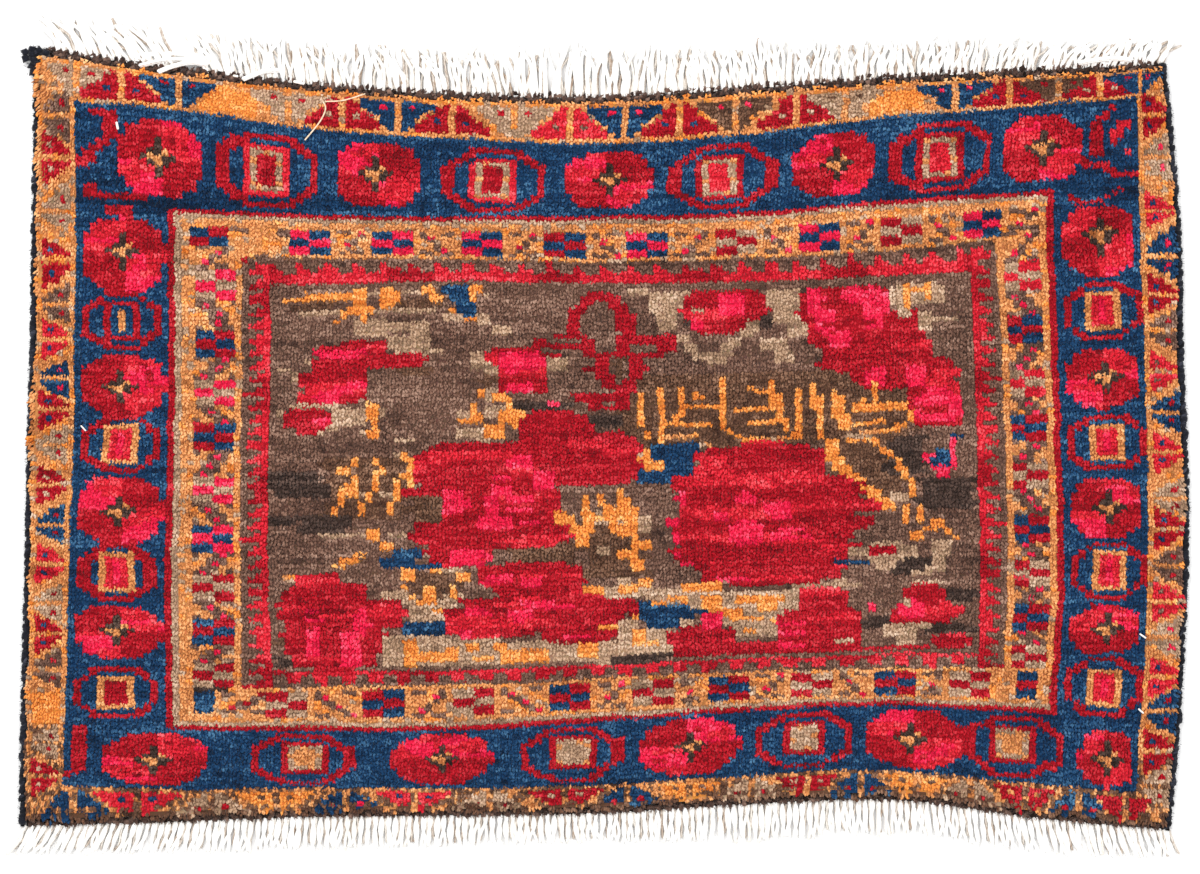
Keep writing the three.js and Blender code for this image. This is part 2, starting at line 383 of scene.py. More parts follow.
# The looped stem figure, one line of crimson knots crossing itself.
patches(
    field, "crimson", (38, 47, 72, 74), (41, 46, 74, 75), (40, 42, 70, 71), (45, 55, 70, 71),
    (43, 45, 74, 81), (44, 46, 80, 82), (45, 47, 82, 84), (46, 50, 83, 85), (49, 51, 81, 84),
    (50, 52, 76, 82), (51, 53, 74, 80), (50, 52, 70, 75), (45, 47, 70, 74), (52, 59, 73, 75),
    (56, 59, 71, 75), (52, 57, 70, 71), (47, 49, 65, 71), (45, 47, 67, 68), (48, 50, 63, 66),
    (52, 54, 65, 71), (54, 55, 67, 68), (51, 53, 62, 65), (50, 52, 58, 64), (43, 46, 61, 62),
    (44, 48, 60, 62), (46, 48, 58, 61), (48, 51, 58, 59), (48, 50, 60, 62),
)
patches(field, "taupe", (40, 45, 73, 74), (49, 50, 59, 60))
patches(field, "magenta", (40, 42, 59, 60))

# The big rose left of the middle.
rose(
    field,
    ((41.2, 53.4, 5.2, 4.2), (45.4, 47, 8.2, 6.4), (37.5, 45.6, 16.2, 5), (31, 45.2, 10, 6),
     (33.4, 36.4, 8.4, 6.4), (32, 30.2, 11.8, 3.4), (27.4, 27, 4.8, 4), (22.4, 40, 3.4, 1.4)),
    ((36.4, 46.2, 2, 1.4), (33.4, 41, 1.4, 2.2), (39.4, 42.2, 1.7, 2), (36, 37, 2.2, 1.8),
     (37.3, 33, 1.5, 1.2), (26.6, 37.4, 1.9, 2.2), (32.4, 32.4, 2.4, 1.4), (28.8, 25, 3, 2),
     (32, 36.4, 1.2, 2.4)),
)

# The leaf strokes beside it, and the sprig and blue leaf at its foot.
patches(
    field, "orange", (12, 13, 46, 48), (10, 12, 44, 46), (12, 13, 39, 44), (11, 12, 39, 42),
    (10, 11, 37, 41), (9, 10, 35, 37), (13, 14, 35, 38), (15, 16, 46, 48), (16, 17, 44, 46),
    (15, 16, 40, 45), (14, 15, 38, 40), (18, 19, 38, 43), (17, 18, 35, 38), (20, 21, 41, 48),
    (19, 20, 43, 44), (14, 16, 29, 32), (16, 18, 27, 29), (9, 11, 23, 24), (10, 13, 24, 25),
    (12, 14, 25, 26),
)
patches(field, "beige", (7, 14, 30, 31), (17, 20, 30, 31), (13, 14, 39, 40), (16, 18, 39, 40))
patches(field, "blue", (18, 22, 25, 27), (16, 21, 23, 25), (21, 25, 23, 24))

# The small beige diamond with a brown middle.
patches(
    field, "beige", (25, 28, 22, 23), (16, 20, 16, 18), (17, 20, 15, 17), (20, 25, 13, 16),
    (20, 25, 11, 13), (25, 28, 15, 17), (25, 27, 13, 15),
)
patches(
    field, "orange", (19, 21, 20, 23), (23, 25, 22, 23), (27, 29, 20, 22), (26, 27, 16, 19),
    (22, 24, 16, 19), (20, 21, 16, 17), (19, 20, 18, 19), (21, 24, 15, 16), (23, 25, 13, 14),
)
patches(field, "blue", (19, 25, 8, 11))

# The lower left rose.
rose(
    field,
    ((7, 20.6, 3.6, 1.7), (9, 18.6, 5.4, 1.8), (7.6, 16.8, 6, 2), (10.4, 13.2, 9.2, 3.4),
     (9, 8.6, 7, 8.2)),
    ((6.2, 12.4, 1.4, 1.8), (5.9, 6.4, 1, 4.6), (13.3, 11, 1.2, 2.6), (11.6, 4.6, 1.8, 4)),
)
patches(field, "camel", (2, 4, 20, 22))

# The beige and orange band along the near edge of the field, and the blue wedge at its end.
patches(
    field, "beige", (16, 33, 1, 7), (33, 40, 1, 6), (40, 50, 1, 5), (16, 25, 7, 8),
    (50, 58, 2, 8), (47, 51, 0, 3),
)
patches(
    field, "orange", (19, 21, 1, 7), (21, 27, 2, 4), (25, 27, 3, 5), (28, 30, 4, 6),
    (32, 34, 4, 6), (33, 40, 1, 4), (29, 32, 2, 3), (44, 47, 2, 5), (52, 54, 4, 8),
    (54, 56, 4, 5),
)
patches(field, "dark", (49, 58, 0, 2))

# The rose below the middle.
rose(
    field,
    ((38.6, 20.2, 7, 3.4), (33, 20.6, 3, 2.6), (39.6, 13.2, 13, 3.4), (32.6, 10.6, 7.8, 3.8),
     (44.4, 8.6, 5.6, 3.6), (41, 16.6, 5, 1.6)),
    ((32.6, 19.8, 2.2, 1.3), (37.6, 19, 1.4, 1.4), (40.6, 14.4, 4.6, 1), (36, 12, 2.2, 1.5),
     (29.6, 12.8, 2, 1), (28, 8, 1.2, 1), (44.2, 6.2, 2, 1)),
)
stroke(field, "orange", ((47, 8), (50, 9), (52, 10)))

# The orange tree between the roses, and the beige and orange ground at its foot.
patches(
    field, "beige", (47, 52, 32, 35), (53, 55, 30, 34), (47, 49, 25, 27), (50, 52, 18, 20),
    (48, 54, 15, 18), (54, 61, 14, 17), (57, 60, 12, 15), (60, 63, 12, 15), (50, 53, 8, 10),
    (61, 65, 15, 17), (65, 77, 8, 16), (66, 74, 5, 8), (75, 80, 15, 17), (79, 85, 16, 17),
    (81, 83, 17, 18), (59, 61, 8, 10),
)
patches(
    field, "orange", (45, 46, 35, 39), (47, 48, 36, 39), (48, 49, 35, 37), (50, 51, 35, 40),
    (51, 52, 36, 38), (41, 43, 32, 35), (43, 44, 32, 34), (43, 45, 30, 32), (44, 46, 27, 31),
    (45, 47, 30, 35), (48, 50, 33, 36), (49, 50, 30, 33), (47, 48, 33, 34), (50, 52, 33, 35),
    (51, 53, 31, 36), (50, 52, 29, 32), (52, 53, 28, 31), (52, 55, 26, 28), (50, 53, 24, 26),
    (52, 54, 21, 24), (53, 55, 17, 19), (45, 48, 16, 18), (50, 53, 16, 18), (59, 65, 16, 18),
    (62, 65, 11, 15), (59, 60, 13, 15), (55, 57, 12, 14), (57, 59, 14, 15), (67, 74, 13, 15),
    (65, 68, 10, 12), (70, 73, 11, 13), (66, 71, 9, 10), (68, 70, 6, 7), (72, 74, 8, 9),
)
patches(
    field, "blue", (53, 55, 10, 14), (54, 59, 8, 12), (55, 60, 10, 13), (59, 61, 10, 12),
    (61, 63, 11, 12),
)

# The beige branch at the top, and the rose that it holds.
patches(
    field, "beige", (52, 55, 84, 86), (55, 60, 80, 85), (56, 59, 76, 80), (59, 61, 84, 85),
    (59, 61, 73, 75), (60, 62, 71, 73), (61, 63, 69, 71), (63, 66, 68, 71), (65, 67, 70, 73),
    (66, 68, 72, 74), (68, 70, 74, 77), (69, 71, 75, 79), (72, 77, 80, 85), (73, 77, 77, 80),
    (75, 78, 74, 77), (71, 75, 71, 74), (73, 76, 68, 71),
)
rose(
    field, ((66, 81.6, 6.3, 3.4), (65, 79, 4.6, 3.6)),
    ((67.2, 81.6, 2, 3), (62, 77, 1.2, 1)),
)
patches(field, "beige", (61, 63, 80, 81))

# The long slanting rose at the upper right.
rose(
    field,
    ((83.4, 80.6, 6.8, 4.6), (86, 75, 8.2, 4.4), (88, 69.8, 8.4, 4.8), (92, 64.6, 7.6, 3.8),
     (96.2, 57, 4, 5.4)),
    ((79.2, 82, 1.3, 2.6), (80.6, 77.4, 1.6, 3), (84.8, 83, 1.4, 1.6), (87.8, 79.6, 1.9, 4.6),
     (82.6, 72.8, 1.7, 1.8), (87.8, 64, 1.4, 2.4), (93.6, 63.4, 1.6, 2.6), (96.4, 56.6, 3.4, 4)),
)
patches(
    field, "beige", (90, 98, 80, 84), (91, 93, 77, 81), (94, 96, 74, 78), (96, 100, 76, 77),
    (91, 97, 84, 85),
)
patches(field, "orange", (92, 93, 79, 85), (95, 96, 81, 85), (93, 95, 83, 84))

# The orange comb lines across the middle of the field.
for column, near, far in (
    (53, 54, 62), (54, 51, 53), (56, 50, 63), (59, 56, 63), (58, 55, 57), (65, 53, 65),
    (72, 58, 64), (73, 55, 61), (76, 51, 62), (78, 57, 63), (79, 50, 60), (81, 55, 61),
    (82, 52, 60), (83, 52, 56), (87, 58, 63), (92, 53, 56), (74, 52, 55), (61, 60, 62),
):
    patches(field, "orange", (column, column + 1, near, far))
for left, right, row in (
    (59, 66, 58), (57, 64, 54), (66, 67, 52), (67, 68, 51), (68, 77, 50), (67, 73, 57),
    (69, 74, 54), (84, 92, 56), (84, 92, 57), (85, 86, 58), (83, 89, 53), (90, 92, 52),
    (89, 91, 51), (69, 70, 62), (70, 72, 61), (62, 63, 60), (75, 77, 51), (83, 87, 49),
):
    patches(field, "orange", (left, right, row, row + 1))
patches(field, "camel", (57, 62, 51, 52), (57, 64, 49, 50), (71, 74, 50, 51), (85, 89, 51, 52))

# The leaf outlined in orange at the right, and the small triangle beside it.
patches(
    field, "orange", (80, 82, 45, 50), (81, 83, 43, 46), (82, 84, 41, 44), (83, 85, 40, 42),
    (84, 86, 39, 41), (85, 87, 37, 39), (86, 88, 35, 38), (87, 90, 33, 36), (87, 88, 48, 50),
    (88, 89, 46, 48), (89, 90, 45, 47), (90, 91, 42, 45), (91, 92, 40, 43), (92, 93, 36, 40),
    (91, 92, 30, 34), (93, 94, 30, 34), (92, 94, 26, 28), (94, 96, 28, 29), (95, 97, 29, 31),
    (97, 98, 27, 29), (98, 99, 26, 27),
)
patches(field, "beige", (89, 92, 35, 37), (83, 87, 50, 51))
for step in range(4):
    block(field, "magenta", 98 - step, 99, 45 + step // 2, 48 - step)
patches(field, "magenta", (98, 99, 42, 49), (94, 98, 44, 46), (95, 98, 42, 44), (96, 98, 40, 43))
patches(field, "blue", (95, 98, 43, 45), (96, 98, 45, 47), (98, 100, 49, 50))

# The big rose at the right.
rose(
    field,
    ((70.6, 44, 9.4, 5.6), (72, 37, 13.2, 6.4), (71, 27.4, 13.2, 7), (72.4, 21.6, 10.4, 4.4),
     (85.6, 34.4, 2, 1.4), (85, 30.6, 1.8, 1.4), (59.6, 41.4, 2, 1.2), (58, 32, 1.4, 1.4)),
    ((59.4, 36.6, 1, 2), (58.4, 28, 1, 4), (59.8, 21.8, 1.4, 1.6), (68.6, 29.2, 2.6, 2.8),
     (73, 34, 2.2, 1.8), (74.6, 28.2, 3, 1.4), (68.6, 37.4, 1.4, 1.2), (66.4, 18.4, 2.2, 1),
     (65, 33, 1.2, 1), (57.8, 32, 1, 1.2)),
)

# The blue block between the two big roses, and the small orange figure in its corner.
patches(
    field, "blue", (55, 62, 48, 50), (55, 61, 45, 50), (57, 61, 43, 46), (53, 58, 41, 44),
)
patches(field, "orange", (53, 54, 46, 48), (54, 55, 44, 49), (55, 57, 44, 46))
patches(field, "camel", (53, 54, 47, 48))

# The beige loop and red bar at the right edge.
patches(
    field, "beige", (86, 91, 25, 26), (83, 86, 23, 25), (86, 91, 21, 23), (87, 90, 19, 22),
    (90, 93, 22, 25), (92, 95, 18, 19), (94, 97, 19, 20), (95, 98, 22, 26), (95, 97, 19, 23),
    (92, 97, 16, 17),
)
patches(field, "crimson", (86, 90, 23, 25))
patches(field, "blue", (81, 86, 21, 22))

# The roses in the lower right corner.
rose(
    field,
    ((62.2, 4.4, 4.8, 3.4), (70, 2.4, 8, 1.8), (79, 6.2, 6.2, 5.2), (79.4, 11.8, 3.6, 4.4)),
    ((63.6, 9, 1.4, 2.4), (75, 5, 2.2, 3)),
)
patches(field, "magenta", (62, 65, 8, 11), (86, 87, 10, 12))
patches(field, "beige", (88, 90, 4, 7), (90, 95, 6, 7), (90, 93, 2, 6))
rose(
    field, ((94.2, 11.6, 3, 4.4), (93.8, 9.4, 4.8, 2.6), (97.8, 9.8, 2.4, 1.6), (98, 3, 3, 1.8)),
    ((92.4, 10.4, 2, 2.4),),
)
patches(field, "beige", (91, 92, 11, 13), (81, 84, 3, 4))
patches(field, "crimson", (75, 95, 1, 2))
patches(field, "taupe", (57, 101, 0, 1))


def zigzag(band, teeth):
    """Red teeth on brown, by their reach. The band runs outwards from the field, then along it.

    Every eleventh knot reaches one further, and seven knots in crimson come before fourteen in coral.
    """
    longer_every = 11
    red_run = 7
    depth, length = band.shape
    band[:] = NUMBER["taupe"]
    for along in range(length):
        reach = 1 + teeth[along % len(teeth)] + (along % longer_every == 0)
        red = "coral" if (along // red_run) % 3 else "crimson"
        band[:min(depth, reach), along] = NUMBER[red]


zigzag(knots[FIELD_NEAR - 1:TEETH_NEAR:-1, TEETH_LEFT:TEETH_RIGHT], (0, 0, 2, 2))
zigzag(knots[FIELD_FAR:TEETH_FAR, TEETH_LEFT:TEETH_RIGHT], (3, 2, 1, 1))
zigzag(knots[TEETH_NEAR + 1:TEETH_FAR - 1, FIELD_LEFT - 1:TEETH_LEFT - 1:-1].T, (2, 1, 0))
zigzag(knots[TEETH_NEAR + 1:TEETH_FAR - 1, FIELD_RIGHT:TEETH_RIGHT].T, (2, 1, 0))


# The inner guards: blocks of checks with slanting dotted bars between them, on camel. Each row
# of a table gives a block's middle and its two dyes, in the order from the left or the near end.
def check_block(band, middle, first, second, checks=3):
    """Two columns of checks, each three knots wide and two high, the dyes changing places."""
    tall = 2 * checks
    for step in range(checks):
        for half in (0, 1):
            dye = first if (step + half) % 2 == 0 else second
            start = middle - 3 + 3 * half
            block(band, dye, start, start + 3, tall - 2 * step - 2, tall - 2 * step)


def slanting_bar(band, start, stop, rising, dot):
    """A slanting bar of brown knots, dotted with pink, from one block to the next."""
    deep = band.shape[0]
    length = max(1, stop - start)
    for step in range(length):
        share = step / max(1, length - 1)
        low = int(round((share if rising else 1 - share) * (deep - 1)))
        column = start + step
        band[max(0, low - 1):low + 1, column] = NUMBER["taupe"]
        if step % 2:
            band[low, column] = NUMBER[dot]
    corner = 0 if rising else deep - 1
    band[corner, stop - 2:stop] = NUMBER["taupe"]
    band[deep - 1 - corner, start:start + 2] = NUMBER["taupe"]


FAR_CHECKS = (
    (41, "magenta", "blue"), (53, "blue", "magenta"), (66, "magenta", "blue"),
    (78, "crimson", "blue"), (90, "magenta", "blue"), (103, "crimson", "beige"),
    (115, "magenta", "blue"), (127, "crimson", "beige"), (139, "magenta", "blue"),
)
NEAR_CHECKS = (
    (37, "crimson", "beige"), (51, "crimson", "blue"), (64, "beige", "crimson"),
    (78, "blue", "crimson"), (90, "beige", "crimson"), (101, "blue", "crimson"),
    (113, "crimson", "beige"), (125, "blue", "crimson"), (136, "beige", "crimson"),
)
LEFT_CHECKS = (
    (34, "beige", "crimson"), (44, "blue", "crimson"), (54, "beige", "crimson"),
    (65, "blue", "magenta"), (76, "beige", "magenta"), (88, "crimson", "blue"),
    (98, "beige", "magenta"), (109, "blue", "crimson"), (122, "beige", "magenta"),
)
RIGHT_CHECKS = (
    (34, "crimson", "beige"), (43, "blue", "crimson"), (53, "crimson", "beige"),
    (63, "blue", "crimson"), (75, "crimson", "beige"), (86, "blue", "crimson"),
    (96, "beige", "coral"), (108, "crimson", "blue"), (120, "beige", "coral"),
)


def checked_end(band, table, even_bars_rise):
    for number, (middle, first, second) in enumerate(table):
        check_block(band, middle, first, second)
        if number + 1 < len(table):
            rising = (number % 2 == 0) == even_bars_rise
            slanting_bar(band, middle + 4, table[number + 1][0] - 4, rising, "magenta")


def checked_side(band, table, rising_bars):
    """The same along a side, where the checks still lie with their long way along the rug."""
    wide = band.shape[1]
    for number, (middle, first, second) in enumerate(table):
        for step in range(3):
            near = middle - 3 + 2 * step
            band[near:near + 2, :wide // 2] = NUMBER[first if step % 2 == 0 else second]
            band[near:near + 2, wide // 2:] = NUMBER[second if step % 2 == 0 else first]
        if number + 1 < len(table):
            start = middle + 3
            stop = table[number + 1][0] - 3
            for row in range(start, stop):
                share = (row - start) / max(1, stop - start - 1)
                share = share if number in rising_bars else 1 - share
                column = int(round(share * (wide - 3)))
                band[row, column:column + 3] = NUMBER["taupe"]
                band[row, column + 1] = NUMBER["magenta" if row % 2 else "taupe"]
            low_side = 0 if number in rising_bars else wide - 1
            band[stop - 1, low_side] = NUMBER["taupe"]
            band[start, wide - 1 - low_side] = NUMBER["taupe"]


guard = knots[GUARD_NEAR:GUARD_FAR, GUARD_LEFT:GUARD_RIGHT]
guard[:, :TEETH_LEFT - GUARD_LEFT] = NUMBER["camel"]
guard[:, TEETH_RIGHT - GUARD_LEFT:] = NUMBER["camel"]
guard[TEETH_FAR - GUARD_NEAR:] = NUMBER["camel"]
guard[:TEETH_NEAR - GUARD_NEAR + 1] = NUMBER["camel"]
for line in (guard[-2, 1:-1], guard[1, 1:-1], guard[1:-2, 1]):
    line[:] = NUMBER["beige"]
for line in (guard[-1], guard[0], guard[:, 0], guard[:, -1]):
    line[:] = NUMBER["crimson"]
checked_end(knots[128:134, :], FAR_CHECKS, True)
checked_end(knots[24:30, :], NEAR_CHECKS, False)
checked_side(knots[:, 24:30], LEFT_CHECKS, (0, 2, 4, 6))
checked_side(knots[:, 142:147], RIGHT_CHECKS, (1, 4, 6))

# The corners of the inner guards, where the checks and bars of two sides meet.
check_block(knots[130:134, :], 26, "blue", "crimson", 2)
slanting_bar(knots[125:130, :], 24, 29, True, "magenta")
patches(knots, "taupe", (29, 32, 133, 134), (33, 35, 127, 128), (36, 38, 132, 134))
slanting_bar(knots[123:129, :], 142, 147, True, "magenta")
slanting_bar(knots[129:134, :], 143, 147, True, "magenta")
block(knots, "blue", 24, 27, 25, 30)
block(knots, "dark", 24, 29, 30, 31)
slanting_bar(knots[25:30, :], 28, 34, True, "crimson")
for near, dye in ((24, "blue"), (26, "crimson"), (28, "blue")):
    block(knots, dye, 143, 146, near, near + 2)

# The main border: rosettes and octagons by turns on blue.
blue_border = np.zeros(knots.shape, bool)
blue_border[BLUE_NEAR:BLUE_FAR, BLUE_LEFT:BLUE_RIGHT] = True
blue_border[GUARD_NEAR:GUARD_FAR, GUARD_LEFT:GUARD_RIGHT] = False
knots[blue_border] = NUMBER["blue"]


def rosette(column, row, wide, high, light):
    """A round flower in two reds, lighter in the quarters named, about a dotted diamond."""
    petals = 8
    petal_depth = 0.03
    roundness = 3
    corner_cut = 1.46
    missed = 0.06
    pink_above = 0.1
    diamond_half_wide = 2.6
    diamond_half_high = 3.1
    rows, columns = np.indices(knots.shape) + 0.5
    across = (columns - column) / (wide / 2)
    along = (rows - row) / (high / 2)
    turn = np.arctan2(along, across)
    rim = 1 + petal_depth * np.cos(petals * turn)
    cut = np.abs(across) + np.abs(along) < corner_cut * rim
    flower = (np.abs(across) ** roundness + np.abs(along) ** roundness < rim) & cut
    knots[flower] = NUMBER["crimson"]
    quarters = {
        "upper right": (across > 0) & (along > 0),
        "upper left": (across < 0) & (along > 0),
        "lower right": (across > 0) & (along < 0),
        "lower left": (across < 0) & (along < 0),
    }
    for name in light:
        inner = flower & quarters[name] & (random.random(knots.shape) > missed)
        knots[inner] = NUMBER["coral"]
        knots[inner & (drift(*knots.shape, 2, 4) > pink_above)] = NUMBER["magenta"]
    middle_column = int(column)
    middle_row = int(row)
    reach = np.abs(columns - middle_column - 0.5) / diamond_half_wide
    reach = reach + np.abs(rows - middle_row - 0.5) / diamond_half_high
    knots[reach < 1] = NUMBER["dark"]
    for aside, up in ((0, 0), (-1, 0), (0, -1), (1, 1)):
        knots[middle_row + up, middle_column + aside] = NUMBER["camel"]


def octagon(column, row, wide, high, ring, heart, thick=1.5, rim_dye="beige"):
    """A crimson ring with its corners cut off, about a rimmed square in a second ring."""
    outer_cut = 0.55
    gap_cut = 0.6
    ring_cut = 0.12
    ring_wide_share = 0.23
    ring_high_share = 0.33
    rows, columns = np.indices(knots.shape) + 0.5
    across = np.abs(columns - column)
    along = np.abs(rows - row)

    def inside(half_wide, half_high, cut):
        corner = across / half_wide + along / half_high
        return (across < half_wide) & (along < half_high) & (corner < 2 - cut)

    outer = inside(wide / 2, high / 2, outer_cut)
    gap = inside(wide / 2 - thick, high / 2 - 1, gap_cut)
    knots[outer & ~gap] = NUMBER["crimson"]
    half_wide = wide * ring_wide_share
    half_high = high * ring_high_share
    knots[inside(half_wide, half_high, ring_cut)] = NUMBER[ring]
    rim = inside(half_wide - 1, half_high - 1, 0)
    knots[rim] = NUMBER[rim_dye]
    if rim_dye == "beige" and ring != "blue":
        knots[rim & ((rows + columns).astype(int) % 4 == 0)] = NUMBER["camel"]
    knots[inside(half_wide - 2, half_high - 2, 0)] = NUMBER[heart]


FALLING = ("upper left", "lower right")
RISING = ("upper right", "lower left")
UPPER = ("upper left", "upper right")
RIGHT = ("upper right", "lower right")
for column, wide, light in (
    (18.9, 11.8, RISING), (50.9, 12.6, FALLING), (84.3, 12.8, FALLING), (117.2, 12, FALLING),
    (147.2, 11.2, FALLING),
):
    rosette(column, 146.4, wide, 13.6, light)
for column, ring, heart in (
    (34.6, "coral", "crimson"), (67.8, "coral", "crimson"), (100.9, "crimson", "coral"),
    (132.7, "crimson", "coral"),
):
    octagon(column, 146, 15.2, 14.2, ring, heart)
for row, high, light in (
    (128.3, 14.4, FALLING), (99.9, 13.6, RIGHT), (71.7, 15.4, FALLING), (44.2, 12.2, RISING),
):
    rosette(13.7, row, 11.8, high, light)
for row, ring, heart, thick, rim_dye in (
    (114.6, "crimson", "camel", 1, "blue"), (86.5, "camel", "magenta", 1, "coral"),
    (57.4, "camel", "magenta", 2, "coral"), (30, "camel", "crimson", 1, "crimson"),
):
    octagon(13.6, row, 10.8, 12.8, ring, heart, thick, rim_dye)
for column, row, wide, high, light in (
    (155.3, 126.2, 10.2, 14.2, FALLING), (155.3, 96.4, 10.2, 13.8, RISING),
    (155.3, 67.5, 10.2, 13.6, RISING), (155.3, 40.2, 10.2, 11, UPPER), (156.4, 12.3, 8, 11.6, FALLING),
):
    rosette(column, row, wide, high, light)
for row in (111.3, 82, 53.4, 27.2):
    octagon(155.4, row, 11, 13, "camel", "magenta", 1, "coral")
for column, light in ((18.8, RISING), (59.4, UPPER), (95.4, RISING), (127.9, FALLING)):
    rosette(column, 13.6, 14.2, 12.8, light)
for column, ring, heart in (
    (39.1, "crimson", "camel"), (78.1, "crimson", "beige"), (112, "crimson", "beige"),
    (142.7, "crimson", "camel"),
):
    octagon(column, 13.7, 15, 12.6, ring, heart)

# Angular stems in the corners of the main border.
stroke(knots, "crimson", ((9, 153), (11, 153), (11, 149), (9, 147), (7, 144)), 2)
patches(knots, "crimson", (8, 10, 139, 141), (10, 17, 139, 140), (11, 15, 136, 138))
stroke(knots, "crimson", ((157, 153), (155, 150)))
block(knots, "crimson", 154, 156, 144, 151)
stroke(knots, "crimson", ((153, 143), (156, 142), (158, 140), (160, 140)))
stroke(knots, "crimson", ((158, 137), (156, 135), (153, 134), (151, 136)))
for step in range(5):
    block(knots, "coral", 157 + step // 3, 158 + (step + 1) // 2, 146 + step, 147 + step)
block(knots, "coral", 159, 160, 144, 145)
stroke(knots, "crimson", ((8, 21), (8, 10), (6, 8)), 2)

# The outer guards: pairs of right-angled triangles on camel, each pair split by a thin line.
# A pair has its middle, its dye, the dye of its dots, and the edge that its base lies on.
FAR_PAIRS = (
    (7, "beige", "crimson", "out"), (13, "crimson", "blue", "in"), (21, "blue", "crimson", "out"),
    (37, "beige", "crimson", "out"), (45, "crimson", "beige", "in"), (53, "blue", "magenta", "out"),
    (61, "crimson", "blue", "in"), (70, "beige", "crimson", "out"), (78, "coral", "taupe", "in"),
    (86, "blue", "magenta", "out"), (94, "crimson", "blue", "in"), (102, "umber", "magenta", "out"),
    (111, "crimson", "beige", "in"), (118, "beige", "umber", "out"), (134, "blue", "magenta", "out"),
    (142, "crimson", "blue", "in"), (149, "umber", "crimson", "out"), (155, "crimson", "beige", "in"),
    (161, "blue", "magenta", "out"),
)
NEAR_PAIRS = (
    (8, "blue", "camel", "out"), (16, "coral", "blue", "in"), (26, "beige", "crimson", "out"),
    (35, "orange", "umber", "in"), (45, "blue", "magenta", "out"), (55, "coral", "blue", "in"),
    (66, "beige", "crimson", "out"), (77, "crimson", "beige", "in"), (86, "blue", "crimson", "out"),
    (95, "orange", "taupe", "in"), (104, "beige", "crimson", "out"), (112, "crimson", "beige", "in"),
    (120, "blue", "crimson", "out"), (128, "orange", "taupe", "in"), (136, "beige", "crimson", "out"),
    (144, "crimson", "camel", "in"), (152, "blue", "crimson", "out"), (159, "crimson", "crimson", "in"),
)
LEFT_PAIRS = (
    (8, "crimson", "beige", "out"), (17, "beige", "crimson", "in"), (35, "taupe", "crimson", "in"),
    (43, "crimson", "blue", "out"), (50, "beige", "crimson", "in"), (59, "coral", "blue", "out"),
    (68, "blue", "crimson", "in"), (77, "crimson", "beige", "out"), (86, "beige", "crimson", "in"),
    (94, "crimson", "blue", "out"), (101, "blue", "magenta", "in"), (110, "coral", "blue", "out"),
    (118, "taupe", "crimson", "in"), (126, "crimson", "blue", "out"), (136, "beige", "crimson", "in"),
    (145, "crimson", "beige", "out"), (152, "taupe", "crimson", "in"),
)
RIGHT_PAIRS = (
    (7, "beige", "crimson", "out"), (14, "crimson", "blue", "in"), (22, "blue", "crimson", "out"),
    (29, "coral", "blue", "in"), (38, "beige", "magenta", "out"), (46, "coral", "taupe", "in"),
    (54, "taupe", "crimson", "out"), (62, "crimson", "blue", "in"), (69, "beige", "crimson", "out"),
    (79, "coral", "blue", "in"), (88, "blue", "crimson", "out"), (97, "coral", "taupe", "in"),
    (106, "taupe", "crimson", "out"), (114, "crimson", "blue", "in"), (122, "blue", "magenta", "out"),
    (131, "coral", "blue", "in"), (143, "beige", "magenta", "out"), (151, "crimson", "blue", "in"),
)


def triangle_pair(band, middle, dye, dot, base, half=4):
    """Two mirrored right-angled triangles, set against the inner or the outer edge of a band."""
    deep, length = band.shape
    for offset in range(-half, half + 1):
        along = middle + offset
        if offset == 0 or not 0 <= along < length:
            continue
        reach = round(deep * (1 - (abs(offset) - 1) / half) + 0.2)
        if base == "in":
            band[:reach, along] = NUMBER[dye]
        else:
            band[deep - reach:, along] = NUMBER[dye]
    level = min(2, deep // 3) if base == "in" else deep - 2
    for offset in (-2, 2):
        if 0 <= middle + offset < length:
            band[level, middle + offset] = NUMBER[dot]


knots[:, :BLUE_LEFT] = NUMBER["camel"]
knots[:, BLUE_RIGHT:] = NUMBER["camel"]
knots[BLUE_FAR:] = NUMBER["camel"]
knots[:BLUE_NEAR] = NUMBER["camel"]
left_guard = knots[:, BLUE_LEFT - 2:0:-1].T
right_guard = knots[:, BLUE_RIGHT + 1:].T
for pair in LEFT_PAIRS:
    triangle_pair(left_guard, *pair)
for pair in RIGHT_PAIRS:
    triangle_pair(right_guard, *pair)

# The last row is camel with some orange, and three plain orange blocks fill gaps between pairs.
CAMEL_IN_LAST_ROW = 0.75
knots[-1, 10:158] = NUMBER["orange"]
knots[-1, random.random(KNOT_COLUMNS) > 1 - CAMEL_IN_LAST_ROW] = NUMBER["camel"]
for spans in ((25, 33, 156, 162), (122, 130, 156, 162), (1, 6, 22, 30)):
    block(knots, "orange", *spans)

# The triangles are wider along the far end and along the left part of the near end.
WIDE_HALF = 5
WIDE_UP_TO = 90
far_guard = knots[BLUE_FAR + 1:-1]
near_guard = knots[BLUE_NEAR - 2::-1]
for pair in FAR_PAIRS:
    triangle_pair(far_guard, *pair, WIDE_HALF)
for pair in NEAR_PAIRS:
    triangle_pair(near_guard, *pair, WIDE_HALF if pair[0] < WIDE_UP_TO else WIDE_HALF - 1)

